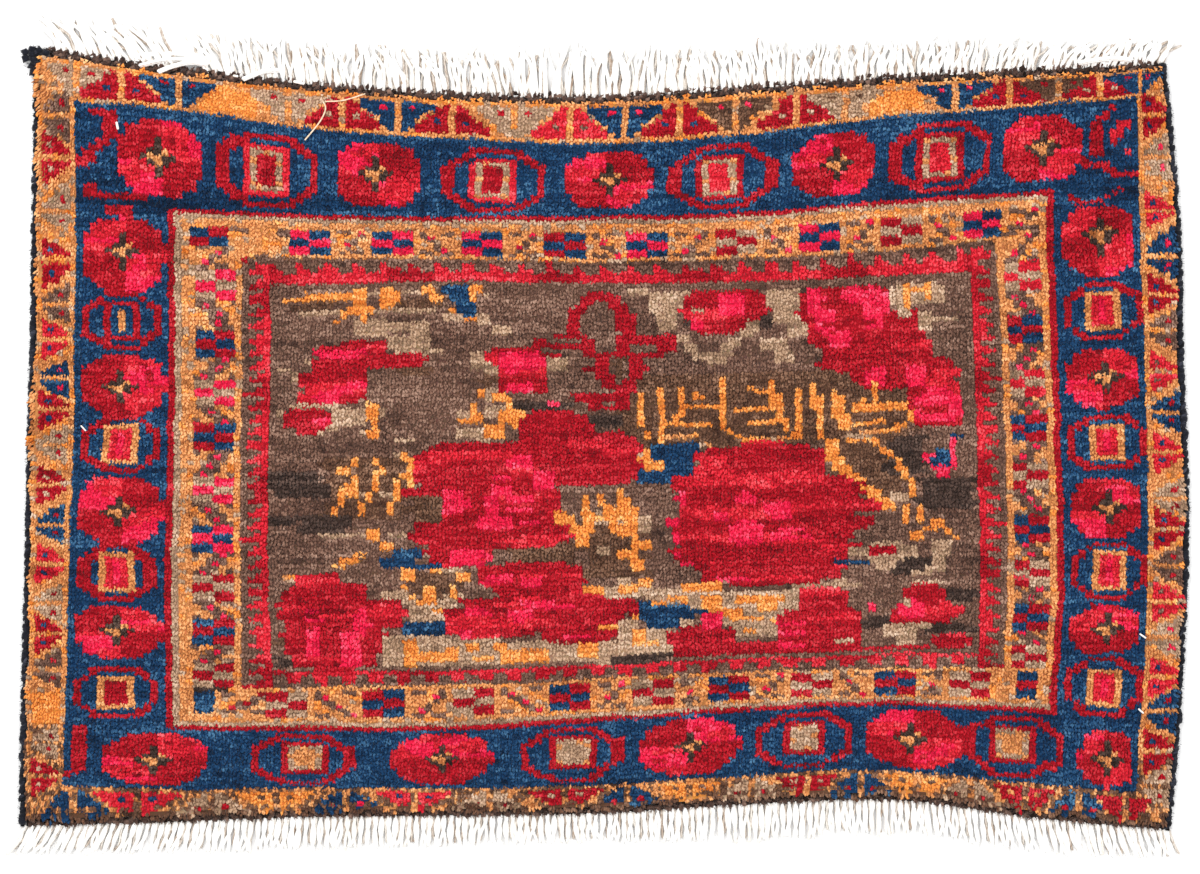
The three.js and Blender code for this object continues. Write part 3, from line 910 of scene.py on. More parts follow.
# The guards' light ground is flecked, most of all along the near edge, where it is mostly brown.
ORANGE_FLECKS = 0.12
BEIGE_FLECKS = 0.1
NEAR_BROWN_FLECKS = 0.15
FIRST_ROW_BROWN = 0.5
fleck = random.random(knots.shape)
guard_ground = (knots == NUMBER["camel"]) & ~blue_border
near_rows = np.zeros(knots.shape, bool)
near_rows[:BLUE_NEAR] = True
near_rows[:22, :BLUE_LEFT] = True
near_rows[:14, BLUE_RIGHT - 1:] = True
mottled = guard_ground & near_rows
knots[guard_ground & ~near_rows & (fleck < ORANGE_FLECKS)] = NUMBER["orange"]
knots[guard_ground & (fleck > 1 - BEIGE_FLECKS)] = NUMBER["beige"]
knots[mottled & (fleck > 1 - NEAR_BROWN_FLECKS)] = NUMBER["umber"]
knots[0][fleck[0] > 1 - FIRST_ROW_BROWN] = NUMBER["umber"]
mottled[:2] = True

# Every knot's tone, from 0 for the dye's deep colour to 1 for its faded one: uneven from knot to
# knot, in streaks along the rows and in soft clouds, with darker passages in the blue border.
MIDDLE_TONE = 0.46
KNOT_UNEVENNESS = 0.085
ROW_STREAKS = 0.055
CLOUDS = 0.05
tones = MIDDLE_TONE + KNOT_UNEVENNESS * random.normal(size=knots.shape)
tones += ROW_STREAKS * drift(KNOT_ROWS, KNOT_COLUMNS, 1, 22)
tones += CLOUDS * drift(KNOT_ROWS, KNOT_COLUMNS, 4, 5)
dark_passages = np.zeros(knots.shape)
for left, right, near, far, darker in (
    (7, 40, 138, 147, 0.12), (14, 21, 136, 139, 0.3), (156, 161, 134, 140, 0.3),
    (120, 161, 138, 143, 0.1),
):
    dark_passages[near:far, left:right] = -darker
tones += dark_passages * (knots == NUMBER["blue"])


def spindles(roots, tips, half_wide, half_thick, widest, twist, sides=3, uneven=0.22):
    """Points and faces of many closed spindles, each from its root to its tip, in millimetres.

    widest is the share of its length at which a spindle has its one ring of points, and uneven is
    how much those points differ in their distance from its axis.
    """
    slip_to_unevenness = 2.4
    count = len(roots)
    axis = tips - roots
    axis /= np.linalg.norm(axis, axis=1, keepdims=True)
    across = np.cross(axis, np.array((0.0, 0.02, 1.0)))
    across /= np.linalg.norm(across, axis=1, keepdims=True)
    upright = np.cross(across, axis)
    turns = 2 * np.pi * np.arange(sides) / sides + twist[:, None]
    rim = 1 + uneven * (2 * random.random((count, sides)) - 1)
    slip = uneven * slip_to_unevenness * (2 * random.random((count, sides)) - 1)
    middle = roots + (tips - roots) * widest[:, None]
    ring = middle[:, None, :] + axis[:, None, :] * slip[..., None]
    ring = ring + across[:, None, :] * (np.cos(turns) * rim * half_wide[:, None])[..., None]
    ring = ring + upright[:, None, :] * (np.sin(turns) * rim * half_thick[:, None])[..., None]
    points = np.concatenate((roots[:, None], ring, tips[:, None]), axis=1)
    around = np.arange(sides)
    following = (around + 1) % sides
    lower = np.stack((around * 0, following + 1, around + 1), axis=1)
    upper = np.stack((around * 0 + sides + 1, around + 1, following + 1), axis=1)
    faces = np.concatenate((lower, upper))
    faces = faces[None] + (np.arange(count) * (sides + 2))[:, None, None]
    return points, faces


def mesh_from(name, points, faces):
    """One smooth mesh object from points in metres and triangles."""
    points = points.reshape(-1, 3)
    faces = faces.reshape(-1, 3)
    mesh = bpy.data.meshes.new(name)
    mesh.vertices.add(len(points))
    mesh.vertices.foreach_set("co", points.ravel())
    mesh.loops.add(faces.size)
    mesh.loops.foreach_set("vertex_index", faces.ravel().astype(np.int32))
    mesh.polygons.add(len(faces))
    mesh.polygons.foreach_set("loop_start", np.arange(0, faces.size, 3, dtype=np.int32))
    mesh.polygons.foreach_set("use_smooth", np.ones(len(faces), bool))
    mesh.update(calc_edges=True)
    mesh.validate()
    piece = bpy.data.objects.new(name, mesh)
    bpy.context.scene.collection.objects.link(piece)
    return piece


def point_values(piece, name, values):
    """A number for every point of a mesh, which its material reads."""
    layer = piece.data.attributes.new(name, "FLOAT", "POINT")
    layer.data.foreach_set("value", np.ascontiguousarray(values, np.float32).ravel())


def cell_map(piece, count, corners):
    """A UV map in which each of many like bits has a small cell of its own.

    corners is the place in the cell, from 0 to 1, of each corner of one bit's faces.
    """
    margin = 0.04
    side = math.ceil(math.sqrt(count))
    cells = np.arange(count)
    low = np.stack((cells % side, cells // side), axis=1)[:, None, :]
    places = (low + margin + (1 - 2 * margin) * corners.reshape(1, -1, 2)) / side
    layer = piece.data.uv_layers.new(name="OFBake")
    layer.data.foreach_set("uv", np.ascontiguousarray(places, np.float32).ravel())


def spindle_cell(sides=3):
    """The two ends of a spindle as two fans, side by side in its cell."""
    root_fan = (0.25, 0.5)
    tip_fan = (0.75, 0.5)
    half_wide = 0.24
    half_high = 0.48
    turn = 2 * np.pi * np.arange(sides + 1) / sides
    rim = np.stack((np.cos(turn) * half_wide, np.sin(turn) * half_high), axis=1)
    corners = []
    for step in range(sides):
        corners.append((root_fan, root_fan + rim[step + 1], root_fan + rim[step]))
    for step in range(sides):
        corners.append((tip_fan, tip_fan + rim[step], tip_fan + rim[step + 1]))
    return np.array(corners)


def linear(colour):
    """A colour out of 255 as the linear light that a shader's socket takes."""
    shares = [channel / 255 for channel in colour]
    return [s / 12.92 if s <= 0.04045 else ((s + 0.055) / 1.055) ** 2.4 for s in shares] + [1]


def yarn_material(name, shades, fuzz=0.12, stretch=(1, 0.4, 0.45), root_shade_level=0.75):
    """Spun yarn: its tone and its height up the pile come from the mesh, its fibres from noise.

    shades are the dye's deep, full and faded colour, fuzz is the sheen of the loose fibres, and
    root_shade_level is how bright the yarn is at its root: its height up the pile paints shade onto it
    towards the root, where the tufts shade one another. stretch draws the fibres out along the axes on
    which it is less than one.
    """
    material = bpy.data.materials.new(name)
    material.use_nodes = True
    nodes = material.node_tree.nodes
    links = material.node_tree.links
    shader = nodes["Principled BSDF"]
    tone = nodes.new("ShaderNodeAttribute")
    tone.attribute_name = "tone"
    rise = nodes.new("ShaderNodeAttribute")
    rise.attribute_name = "rise"
    place = nodes.new("ShaderNodeTexCoord")
    drawn = nodes.new("ShaderNodeMapping")
    drawn.inputs["Scale"].default_value = stretch
    links.new(place.outputs["Object"], drawn.inputs["Vector"])
    fibres = nodes.new("ShaderNodeTexNoise")
    fibres.inputs["Scale"].default_value = 950
    fibres.inputs["Detail"].default_value = 3
    fibres.inputs["Roughness"].default_value = 0.65
    links.new(drawn.outputs["Vector"], fibres.inputs["Vector"])
    shift = nodes.new("ShaderNodeMath")
    shift.operation = "MULTIPLY_ADD"
    shift.inputs[1].default_value = 1.1
    links.new(fibres.outputs["Fac"], shift.inputs[0])
    lowered = nodes.new("ShaderNodeMath")
    lowered.operation = "SUBTRACT"
    lowered.inputs[1].default_value = 0.55
    links.new(tone.outputs["Fac"], lowered.inputs[0])
    links.new(lowered.outputs["Value"], shift.inputs[2])
    ramp = nodes.new("ShaderNodeValToRGB")
    deep, full, faded = (linear(shade) for shade in shades)
    ramp.color_ramp.elements[0].position = 0.05
    ramp.color_ramp.elements[0].color = deep
    ramp.color_ramp.elements[1].position = 0.95
    ramp.color_ramp.elements[1].color = faded
    middle = ramp.color_ramp.elements.new(0.5)
    middle.color = full
    links.new(shift.outputs["Value"], ramp.inputs["Fac"])
    # Painted shade: the yarn darkens towards its root by its height up the pile, as where the tufts
    # shade one another.
    root = nodes.new("ShaderNodeMapRange")
    root.inputs["From Min"].default_value = 0.15
    root.inputs["From Max"].default_value = 0.85
    root.inputs["To Min"].default_value = root_shade_level
    root.inputs["To Max"].default_value = 1
    links.new(rise.outputs["Fac"], root.inputs["Value"])
    shaded = nodes.new("ShaderNodeMix")
    shaded.data_type = "RGBA"
    shaded.blend_type = "MULTIPLY"
    shaded.inputs["Factor"].default_value = 1
    links.new(ramp.outputs["Color"], shaded.inputs["A"])
    links.new(root.outputs["Result"], shaded.inputs["B"])
    links.new(shaded.outputs["Result"], shader.inputs["Base Color"])
    bump = nodes.new("ShaderNodeBump")
    bump.inputs["Strength"].default_value = 0.7
    bump.inputs["Distance"].default_value = 0.0004
    links.new(fibres.outputs["Fac"], bump.inputs["Height"])
    links.new(bump.outputs["Normal"], shader.inputs["Normal"])
    shader.inputs["Roughness"].default_value = 0.9
    shader.inputs["Specular IOR Level"].default_value = 0.12
    shader.inputs["Sheen Weight"].default_value = fuzz
    shader.inputs["Sheen Roughness"].default_value = 0.45
    return material


# Each knot's middle, and the width and height of its place.
rows, columns = np.indices(knots.shape)
middle_x, middle_y = knot_places(columns.ravel() + 0.5, rows.ravel() + 0.5)
next_x, _ = knot_places(columns.ravel() + 1.0, rows.ravel() + 0.5)
_, next_y = knot_places(columns.ravel() + 0.5, rows.ravel() + 1.0)
middle_x = middle_x.reshape(knots.shape)
middle_y = middle_y.reshape(knots.shape)
knot_wide = 2 * (next_x.reshape(knots.shape) - middle_x)
knot_tall = 2 * (next_y.reshape(knots.shape) - middle_y)
from_far = KNOT_ROWS - 1 - rows
from_right = KNOT_COLUMNS - 1 - columns


def fading(away, reach):
    """A share that is 1 at an edge and dies away from it over the given number of knots."""
    return np.exp(-away / reach)


def rounded(away, reach):
    """A share that is 1 at a place and falls off to both sides of it within the given reach."""
    return np.exp(-(away / reach) ** 2)


# The tufts lean to the near end, by so many millimetres from root to tip. The last rows, which the
# far binding holds, stand steeper, and the first rows lie flatter.
PILE_LEAN = 5.4
STEEP_ROWS = 4
STEEPEST = 0.15
lean_back = PILE_LEAN * np.clip((from_far + 1) / STEEP_ROWS, STEEPEST, 1) + fading(rows, 1.5)

# How far the tips lie aside, in millimetres: a slow drift all over, then outwards along the sides,
# most where a stretch hides the left selvedge and where whole rows are tossed over either one.
SIDE_DRIFT = 0.9
LEFT_LEAN = 0.8
OVERHANG = 3.6
OVERHANG_MIDDLE = 5
OVERHANG_REACH = 34
TOSSED_LEFT = 1.8
CORNER_LEAN = 2.2
RIGHT_LEAN = 0.6
TOSSED_RIGHT = 1.2
LOOSER_RIGHT_ROWS = 70
HELD_IN_CORNER = 0.75
sideways = SIDE_DRIFT * drift(KNOT_ROWS, KNOT_COLUMNS, 3, 3)
tossed = np.clip(drift(KNOT_ROWS, 1, 4, 1), 0, 2)
overhang = rounded(middle_y - OVERHANG_MIDDLE, OVERHANG_REACH)
sideways -= fading(columns, 1.2) * (LEFT_LEAN + OVERHANG * overhang + TOSSED_LEFT * tossed)
sideways -= fading(columns, 6.0) * (LEFT_LEAN + CORNER_LEAN * rounded(from_far + 1, 26))
tossed = 1 + 0.7 * np.clip(drift(KNOT_ROWS, 1, 3, 1), -1, 2) + (rows < LOOSER_RIGHT_ROWS)
sideways += fading(from_right, 1.4) * (RIGHT_LEAN + TOSSED_RIGHT * tossed)
sideways *= 1 - HELD_IN_CORNER * (rounded(from_far, 4) * fading(columns, 4.0))
sideways -= CORNER_LEAN * fading(columns, 9.0) * rounded(from_far + 1, 12)

# How far the tips lie towards the far end: a slow drift, and ragged rows over both bindings.
FORWARD_DRIFT = 0.6
OVER_NEAR_BINDING = 2.4
RAGGED_NEAR = 1.3
OVER_FAR_BINDING = 0.7
RAGGED_FAR = 1.1
EDGE_ROWS = 0.8
forward = FORWARD_DRIFT * drift(KNOT_ROWS, KNOT_COLUMNS, 2, 4) - fading(rows, 1.5)
near_tips = OVER_NEAR_BINDING + RAGGED_NEAR * random.normal(size=knots.shape)
forward -= near_tips * fading(rows, EDGE_ROWS)
far_tips = OVER_FAR_BINDING + RAGGED_FAR * random.normal(size=knots.shape)
forward += far_tips * fading(from_far, EDGE_ROWS)

# The height of the tips, a little under that of the few that stand out.
BELOW_TOP = 0.7
LEVEL_DRIFT = 0.3
level = PILE_HEIGHT - BELOW_TOP + LEVEL_DRIFT * drift(KNOT_ROWS, KNOT_COLUMNS, 5, 5)

# Two cut ends to a knot, side by side, each opened into its two plies. What is called aside or
# ahead is a share of the knot's own width or height. The plies' half width and half thickness are
# those in an even knot, and grow and shrink with the knot's own size.
EVEN_WIDE = 5.4
EVEN_TALL = 3.4
TIP_ASIDE = 0.25
ROOT_ASIDE = 0.2
TIP_STAGGER = 0.2
PLY_ASIDE = 0.14
PLY_AHEAD = 0.3
PLY_HALF_WIDE = 1.72
PLY_HALF_THICK = 1.8
ROOT_DEPTH = 1.0
BROWNED_ENDS = 0.46
UNEVEN_END = 0.35
UNEVEN_TIP = (0.32, 0.4, 0.35)
UNEVEN_LEAN = 0.12
UNEVEN_GIRTH = 0.13
UNEVEN_END_TONE = 0.055
UNEVEN_PLY_TONE = 0.038
pile_points = {dye: [] for dye in DYES}
for half in (-1, 1):
    end_lean = UNEVEN_END * random.normal(size=(2, *knots.shape))
    end_tone = tones + UNEVEN_END_TONE * random.normal(size=knots.shape)
    ply_turn = random.random(knots.shape) * np.pi
    browned = mottled & (random.random(knots.shape) < BROWNED_ENDS)
    end_dyes = np.where(browned, NUMBER["umber"], knots)
    for ply in (-1, 1):
        jitter = random.normal(size=(6, *knots.shape))
        ply_x = ply * PLY_ASIDE * np.cos(ply_turn) * knot_wide
        ply_y = ply * PLY_AHEAD * np.sin(ply_turn) * knot_tall
        tip_x = middle_x + half * TIP_ASIDE * knot_wide + ply_x + sideways + end_lean[0]
        tip_x = tip_x + UNEVEN_TIP[0] * jitter[0]
        tip_y = middle_y - TIP_STAGGER * half + ply_y + forward + end_lean[1]
        tip_y = tip_y + UNEVEN_TIP[1] * jitter[1]
        tip_z = level + UNEVEN_TIP[2] * jitter[2]
        root_x = middle_x + half * ROOT_ASIDE * knot_wide
        root_y = tip_y + lean_back * (1 + UNEVEN_LEAN * jitter[3])
        root_z = np.full(knots.shape, CLOTH_THICKNESS - ROOT_DEPTH)
        roots = np.stack((root_x, root_y, root_z), axis=-1)
        tips = np.stack((tip_x, tip_y, tip_z), axis=-1)
        tone = end_tone + UNEVEN_PLY_TONE * jitter[4]
        girth = 1 + UNEVEN_GIRTH * jitter[5]
        half_wide = PLY_HALF_WIDE * girth * knot_wide / EVEN_WIDE
        half_thick = PLY_HALF_THICK * girth * knot_tall / EVEN_TALL
        for dye, number in NUMBER.items():
            own = end_dyes == number
            pile_points[dye].append(
                (roots[own], tips[own], tone[own], half_wide[own], half_thick[own])
            )

# Each ply is fattest three quarters of the way up.
FATTEST = 0.74
FATTEST_SPREAD = 0.06
# PLY_RISES is the height up the ply of each spindle's points, which the material uses to paint shade
# towards the root.
PLY_RISES = (0, 0.75, 0.75, 0.75, 1)
for dye, plies in pile_points.items():
    roots, tips, tone, half_wide, half_thick = (np.concatenate(kept) for kept in zip(*plies))
    count = len(roots)
    points, faces = spindles(
        roots, tips, half_wide, half_thick,
        FATTEST + FATTEST_SPREAD * random.random(count), random.random(count) * 2 * np.pi,
    )
    piece = mesh_from(f"pile_{dye}", to_metres(points), faces)
    point_values(piece, "tone", np.repeat(tone, points.shape[1]))
    point_values(piece, "rise", np.tile(PLY_RISES, count))
    cell_map(piece, count, spindle_cell())
    piece.data.materials.append(yarn_material(f"{dye}_wool", DYES[dye]))
    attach(piece, "root")
    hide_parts("knotted_pile")

# The knots' own dyes colour both faces of the ground cloth, and the upper face is darkened a little as
# painted shade between the tufts. Its mesh has a face for each knot on one side, then on the other, and
# last those of its rim, painted near-black as shade.
SHADE_BETWEEN_TUFTS = 0.8
RIM_SHADE_COLOUR = (0.03, 0.022, 0.018)
knots_in_all = KNOT_COLUMNS * KNOT_ROWS
dye_colours = np.array([linear(shades[1]) for shades in DYES.values()])
back_colours = dye_colours[knots.ravel()] * (0.75 + 0.5 * tones.ravel())[:, None]
colour_layer = ground.data.color_attributes.new("backs", "FLOAT_COLOR", "CORNER")
loop_colours = np.ones((len(ground.data.loops), 4))
loop_colours[:, :3] = RIM_SHADE_COLOUR
for face in ground.data.polygons[:2 * knots_in_all]:
    tied = back_colours[face.index % knots_in_all]
    # Painted shade: the upper face is darker between the tufts, and the underside keeps the knots'
    # colour.
    depth = 1.0 if face.normal.z < 0 else SHADE_BETWEEN_TUFTS
    loop_colours[face.loop_start:face.loop_start + face.loop_total, :3] = tied[:3] * depth
colour_layer.data.foreach_set("color", loop_colours.ravel())


def ground_material():
    """The weave's small nodes, coloured by the knots that wrap them, with the painted shade of the
    backs colours on the upper face and the rim.
    """
    material = bpy.data.materials.new("ground_weave")
    material.use_nodes = True
    nodes = material.node_tree.nodes
    links = material.node_tree.links
    shader = nodes["Principled BSDF"]
    backs = nodes.new("ShaderNodeAttribute")
    backs.attribute_name = "backs"
    place = nodes.new("ShaderNodeTexCoord")
    threads = nodes.new("ShaderNodeTexWave")
    threads.bands_direction = "Y"
    threads.inputs["Scale"].default_value = 46
    threads.inputs["Distortion"].default_value = 1.2
    threads.inputs["Detail"].default_value = 2
    links.new(place.outputs["Object"], threads.inputs["Vector"])
    speckle = nodes.new("ShaderNodeTexNoise")
    speckle.inputs["Scale"].default_value = 500
    links.new(place.outputs["Object"], speckle.inputs["Vector"])
    worn = nodes.new("ShaderNodeMix")
    worn.data_type = "RGBA"
    worn.blend_type = "MULTIPLY"
    worn.inputs["Factor"].default_value = 0.5
    links.new(backs.outputs["Color"], worn.inputs["A"])
    links.new(speckle.outputs["Color"], worn.inputs["B"])
    links.new(worn.outputs["Result"], shader.inputs["Base Color"])
    bump = nodes.new("ShaderNodeBump")
    bump.inputs["Strength"].default_value = 0.5
    bump.inputs["Distance"].default_value = 0.0006
    links.new(threads.outputs["Fac"], bump.inputs["Height"])
    links.new(bump.outputs["Normal"], shader.inputs["Normal"])
    shader.inputs["Roughness"].default_value = 0.95
    shader.inputs["Specular IOR Level"].default_value = 0.15
    return material


ground.data.materials.append(ground_material())
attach(ground, "root")
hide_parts("knotted_pile")


# Selvedges
# The outermost warps of each side, a cord overcast with navy-black wool. The wraps are uneven and
# hairy, the pile leans over them in places, and their end is knotted off in the far left corner.

SELVEDGE_HEIGHT = 6.0


def ring_solids(paths, half_wide, half_thick, upright):
    """Closed loops of yarn, each a tube around its own closed path.

    paths is loops by steps by 3. upright is the loops' own axis, along which the yarn is wide.
    """
    loops, steps, _ = paths.shape
    sides = 5
    middle = paths.mean(axis=1, keepdims=True)
    outward = paths - middle
    outward /= np.linalg.norm(outward, axis=2, keepdims=True)
    turns = 2 * np.pi * np.arange(sides) / sides
    thick = np.cos(turns)[None, None, :, None] * half_thick[:, None, None, None]
    wide = np.sin(turns)[None, None, :, None] * half_wide[:, None, None, None]
    points = paths[:, :, None, :] + outward[:, :, None, :] * thick
    points = points + upright[:, None, None, :] * wide
    step, side = np.meshgrid(np.arange(steps), np.arange(sides), indexing="ij")
    a = step * sides + side
    b = ((step + 1) % steps) * sides + side
    c = ((step + 1) % steps) * sides + (side + 1) % sides
    d = step * sides + (side + 1) % sides
    faces = np.concatenate((
        np.stack((a, b, c), axis=-1).reshape(-1, 3),
        np.stack((a, c, d), axis=-1).reshape(-1, 3),
    ))
    faces = faces[None] + (np.arange(loops) * steps * sides)[:, None, None]
    return points.reshape(loops, -1, 3), faces


def spot_on(u, v, side_in, end_in):
    """The spot at share u along and v across the rug, its sides and ends drawn in by the insets."""
    x = np.zeros(np.broadcast(u, v).shape)
    y = np.zeros_like(x)
    for _ in range(SETTLING_ROUNDS):
        left = left_edge(y) + side_in
        right = right_edge(y) - side_in
        x = left + (right - left) * u
        near = near_edge(x) + end_in
        far = far_edge(x) - end_in
        y = near + (far - near) * v
    return x, y


def core_band(name, steps, spots, low_z, thick):
    """A flat band along an edge, inside the yarn that covers it.

    spots gives x and y for shares along and across the band.
    """
    drop_selection()
    bpy.ops.mesh.primitive_grid_add(x_subdivisions=steps, y_subdivisions=2, size=1)
    band = bpy.context.object
    band.name = name
    shares = mesh_points(band) + 0.5
    x, y = spots(shares[:, 0], shares[:, 1])
    move_points(band, to_metres(np.stack((x, y, np.full(len(x), low_z)), axis=1)))
    if band.data.polygons[0].normal.z < 0:
        bpy.ops.object.mode_set(mode="EDIT")
        bpy.ops.mesh.select_all(action="SELECT")
        bpy.ops.mesh.flip_normals()
        bpy.ops.object.mode_set(mode="OBJECT")
    depth = band.modifiers.new("thickness", "SOLIDIFY")
    depth.thickness = thick * MM
    depth.offset = 1
    bpy.ops.object.modifier_apply(modifier=depth.name)
    return band


def hairs(x, y, z, length, outward_x, outward_y):
    """Thin loose fibres that stand off the yarn at the given spots."""
    half_thick = 0.2
    widest = 0.4
    count = len(x)
    stray = random.normal(size=(3, count))
    roots = np.stack((x, y, z), axis=1)
    away = np.stack((
        outward_x + 0.7 * stray[0], outward_y + 0.7 * stray[1], 0.15 + 0.35 * np.abs(stray[2]),
    ), axis=1)
    away /= np.linalg.norm(away, axis=1, keepdims=True)
    tips = roots + away * (length * (0.6 + 0.8 * random.random(count)))[:, None]
    return spindles(
        roots, tips, np.full(count, half_thick), np.full(count, half_thick), np.full(count, widest),
        random.random(count),
    )


def join_solids(*solids):
    """One list of points and one of faces from several, in millimetres, kept clear of the floor."""
    clear_of_floor = 0.05
    points = []
    faces = []
    total = 0
    for part_points, part_faces in solids:
        flat = part_points.reshape(-1, 3).copy()
        flat[:, 2] = np.maximum(flat[:, 2], clear_of_floor)
        points.append(flat)
        faces.append(part_faces.reshape(-1, 3) + total)
        total += len(flat)
    return np.concatenate(points), np.concatenate(faces)


NAVY_BLACK = ((8, 9, 14), (27, 29, 38), (70, 72, 84))
side_material = yarn_material("side_wool", NAVY_BLACK, 0.2, (0.4, 1, 0.4))
WRAP_PITCH = 3.1
WRAP_STEPS = 8
WRAP_HALF_THICK = 1.0
WRAP_HALF_WIDE = 0.66
WRAP_INSET = 0.7
CORD_MIDDLE = 3.3
CORD_STEPS = 90
CORD_INSET = 1.3
CORD_BOTTOM = 1.4
CORD_THICKNESS = 3.6
SIDE_HAIR = 2.4
SIDE_HAIR_DEPTH = 1.2
HAIRS_TO_A_WRAP = 3
WRAP_TONE = 0.42
SIDE_HAIR_TONE = 0.5
# WRAP_RISE sets the wraps high enough that the material's painted root shade leaves them unshaded.
WRAP_RISE = 0.9
for name, side in (("left_selvedge", 0), ("right_selvedge", 1)):
    low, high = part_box(name)
    count = int((high.y - low.y) / MM / WRAP_PITCH)
    at = (np.arange(count) + 0.5 + 0.16 * random.normal(size=count)) / count
    x, y = spot_on(np.full(count, float(side)), at, SELVEDGE_WIDTH / 2, WRAP_INSET + WRAP_PITCH / 2)
    swell = 1 + 0.12 * np.sin(np.arange(count) * 2.4) + 0.1 * random.normal(size=count)
    swell += 0.3 * np.clip(np.sin(np.arange(count) * 1.22), 0, 1) ** 2
    half_wide = (SELVEDGE_WIDTH / 2 - WRAP_INSET) * swell
    half_high = (SELVEDGE_HEIGHT / 2 - WRAP_HALF_THICK) * (1 + 0.05 * random.normal(size=count))
    turns = 2 * np.pi * (np.arange(WRAP_STEPS) + 0.5) / WRAP_STEPS
    slant = 0.35 + 0.25 * random.normal(size=count)
    ring_x = x[:, None] + half_wide[:, None] * np.cos(turns) + 0.35 * random.normal(size=(count, 1))
    ring_y = y[:, None] + WRAP_PITCH * slant[:, None] * np.cos(turns)
    ring_z = CORD_MIDDLE + half_high[:, None] * np.sin(turns)
    paths = np.stack((ring_x, ring_y, ring_z), axis=-1)
    along = np.tile(np.array((0.0, 1.0, 0.0)), (count, 1))
    wraps = ring_solids(
        paths, WRAP_PITCH * WRAP_HALF_WIDE * swell, np.full(count, WRAP_HALF_THICK), along
    )
    outward = 1 if side else -1
    spots = random.integers(0, count, HAIRS_TO_A_WRAP * count)
    fuzz = hairs(
        x[spots] + outward * half_wide[spots] * (0.3 + 0.7 * random.random(len(spots))),
        y[spots] + 1.4 * random.normal(size=len(spots)),
        np.full(len(spots), SELVEDGE_HEIGHT - SIDE_HAIR_DEPTH), SIDE_HAIR, outward, 0.0,
    )
    points, faces = join_solids(wraps, fuzz)
    piece = mesh_from(name + "_wraps", to_metres(points), faces)
    tone = WRAP_TONE + 0.14 * random.normal(size=count)
    tones_of_points = np.concatenate((
        np.repeat(tone, wraps[0].shape[1]),
        np.full(fuzz[0].shape[0] * fuzz[0].shape[1], SIDE_HAIR_TONE),
    ))
    point_values(piece, "tone", tones_of_points)
    point_values(piece, "rise", np.full(len(tones_of_points), WRAP_RISE))

    def cord_spots(along_share, across_share):
        inset = CORD_INSET + (SELVEDGE_WIDTH - 2 * CORD_INSET) * across_share
        return spot_on(np.full(len(inset), float(side)), along_share, inset, 0.9)

    cord = core_band(name + "_cord", CORD_STEPS, cord_spots, CORD_BOTTOM, CORD_THICKNESS)
    for part in (piece, cord):
        part.data.materials.append(side_material)
        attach(part, "root")
        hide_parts(name)


# The overcasting yarn's end, knotted off in thick lumps beyond the far left corner.
KNOB_LUMPS = (
    (-452, 304), (-447, 306), (-441, 305), (-436, 303), (-452, 299), (-447, 302), (-446, 298),
    (-441, 300), (-436, 299), (-447, 293), (-446, 288),
)
LUMP_HEIGHT = 4.2
LUMP_HALF_LONG = 4.2
LUMP_HALF_WIDE = 3.4
LUMP_HALF_THICK = 3.0
LUMP_SIDES = 9
LUMP_UNEVENNESS = 0.16
KNOB_HAIRS = 60
KNOB_HAIR = 4.0
lump_count = len(KNOB_LUMPS)
lump_middles = np.array([(x, y, LUMP_HEIGHT) for x, y in KNOB_LUMPS])
lump_turns = random.random(lump_count) * np.pi
lump_ways = np.stack((np.cos(lump_turns), np.sin(lump_turns), 0 * lump_turns), axis=1)
lump_reach = lump_ways * LUMP_HALF_LONG
lumps = spindles(
    lump_middles - lump_reach, lump_middles + lump_reach, np.full(lump_count, LUMP_HALF_WIDE),
    np.full(lump_count, LUMP_HALF_THICK), np.full(lump_count, 0.5), lump_turns, LUMP_SIDES,
    LUMP_UNEVENNESS,
)
stray_spots = random.integers(0, lump_count, KNOB_HAIRS)
knob_hairs = hairs(
    lump_middles[stray_spots, 0] + 2 * random.normal(size=KNOB_HAIRS),
    lump_middles[stray_spots, 1] + 2 * random.normal(size=KNOB_HAIRS),
    np.full(KNOB_HAIRS, 5.0), KNOB_HAIR, -0.6, 0.6,
)
knob_points, knob_faces = join_solids(lumps, knob_hairs)
knob = mesh_from("left_selvedge_knot", to_metres(knob_points), knob_faces)
point_values(knob, "tone", np.full(len(knob_points), WRAP_TONE))
point_values(knob, "rise", np.full(len(knob_points), WRAP_RISE))
knob.data.materials.append(side_material)
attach(knob, "root")
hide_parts("left_selvedge")


# End bindings
# A narrow band of dark brown wool over the last wefts of each end, oversewn in fat slanting
# stitches that keep the knots from working loose. The wool is hairy and uneven.

DARK_BROWN = ((34, 24, 20), (82, 61, 53), (142, 114, 100))
end_material = yarn_material("end_wool", DARK_BROWN, 0.2, (0.7, 0.7, 0.7))
BINDING_HEIGHT = 4.0
STITCH_PITCH = 3.6
STITCH_HALF_WIDE = 2.6
STITCH_HALF_THICK = 1.6
STITCH_SIDES = 8
STITCH_UNEVENNESS = 0.16
# STITCH_RISE sets the stitches high enough that the material's painted root shade leaves them unshaded.
STITCH_RISE = 0.9
STITCH_TONE = 0.42
END_HAIR_DEPTH = 0.6
END_HAIR_TONE = 0.75
BAND_STEPS = 140
BAND_INSET = 1.0
BAND_WIDTH = BINDING_WIDTH - 1.6
BAND_BOTTOM = 0.6
BAND_THICKNESS = 2.2

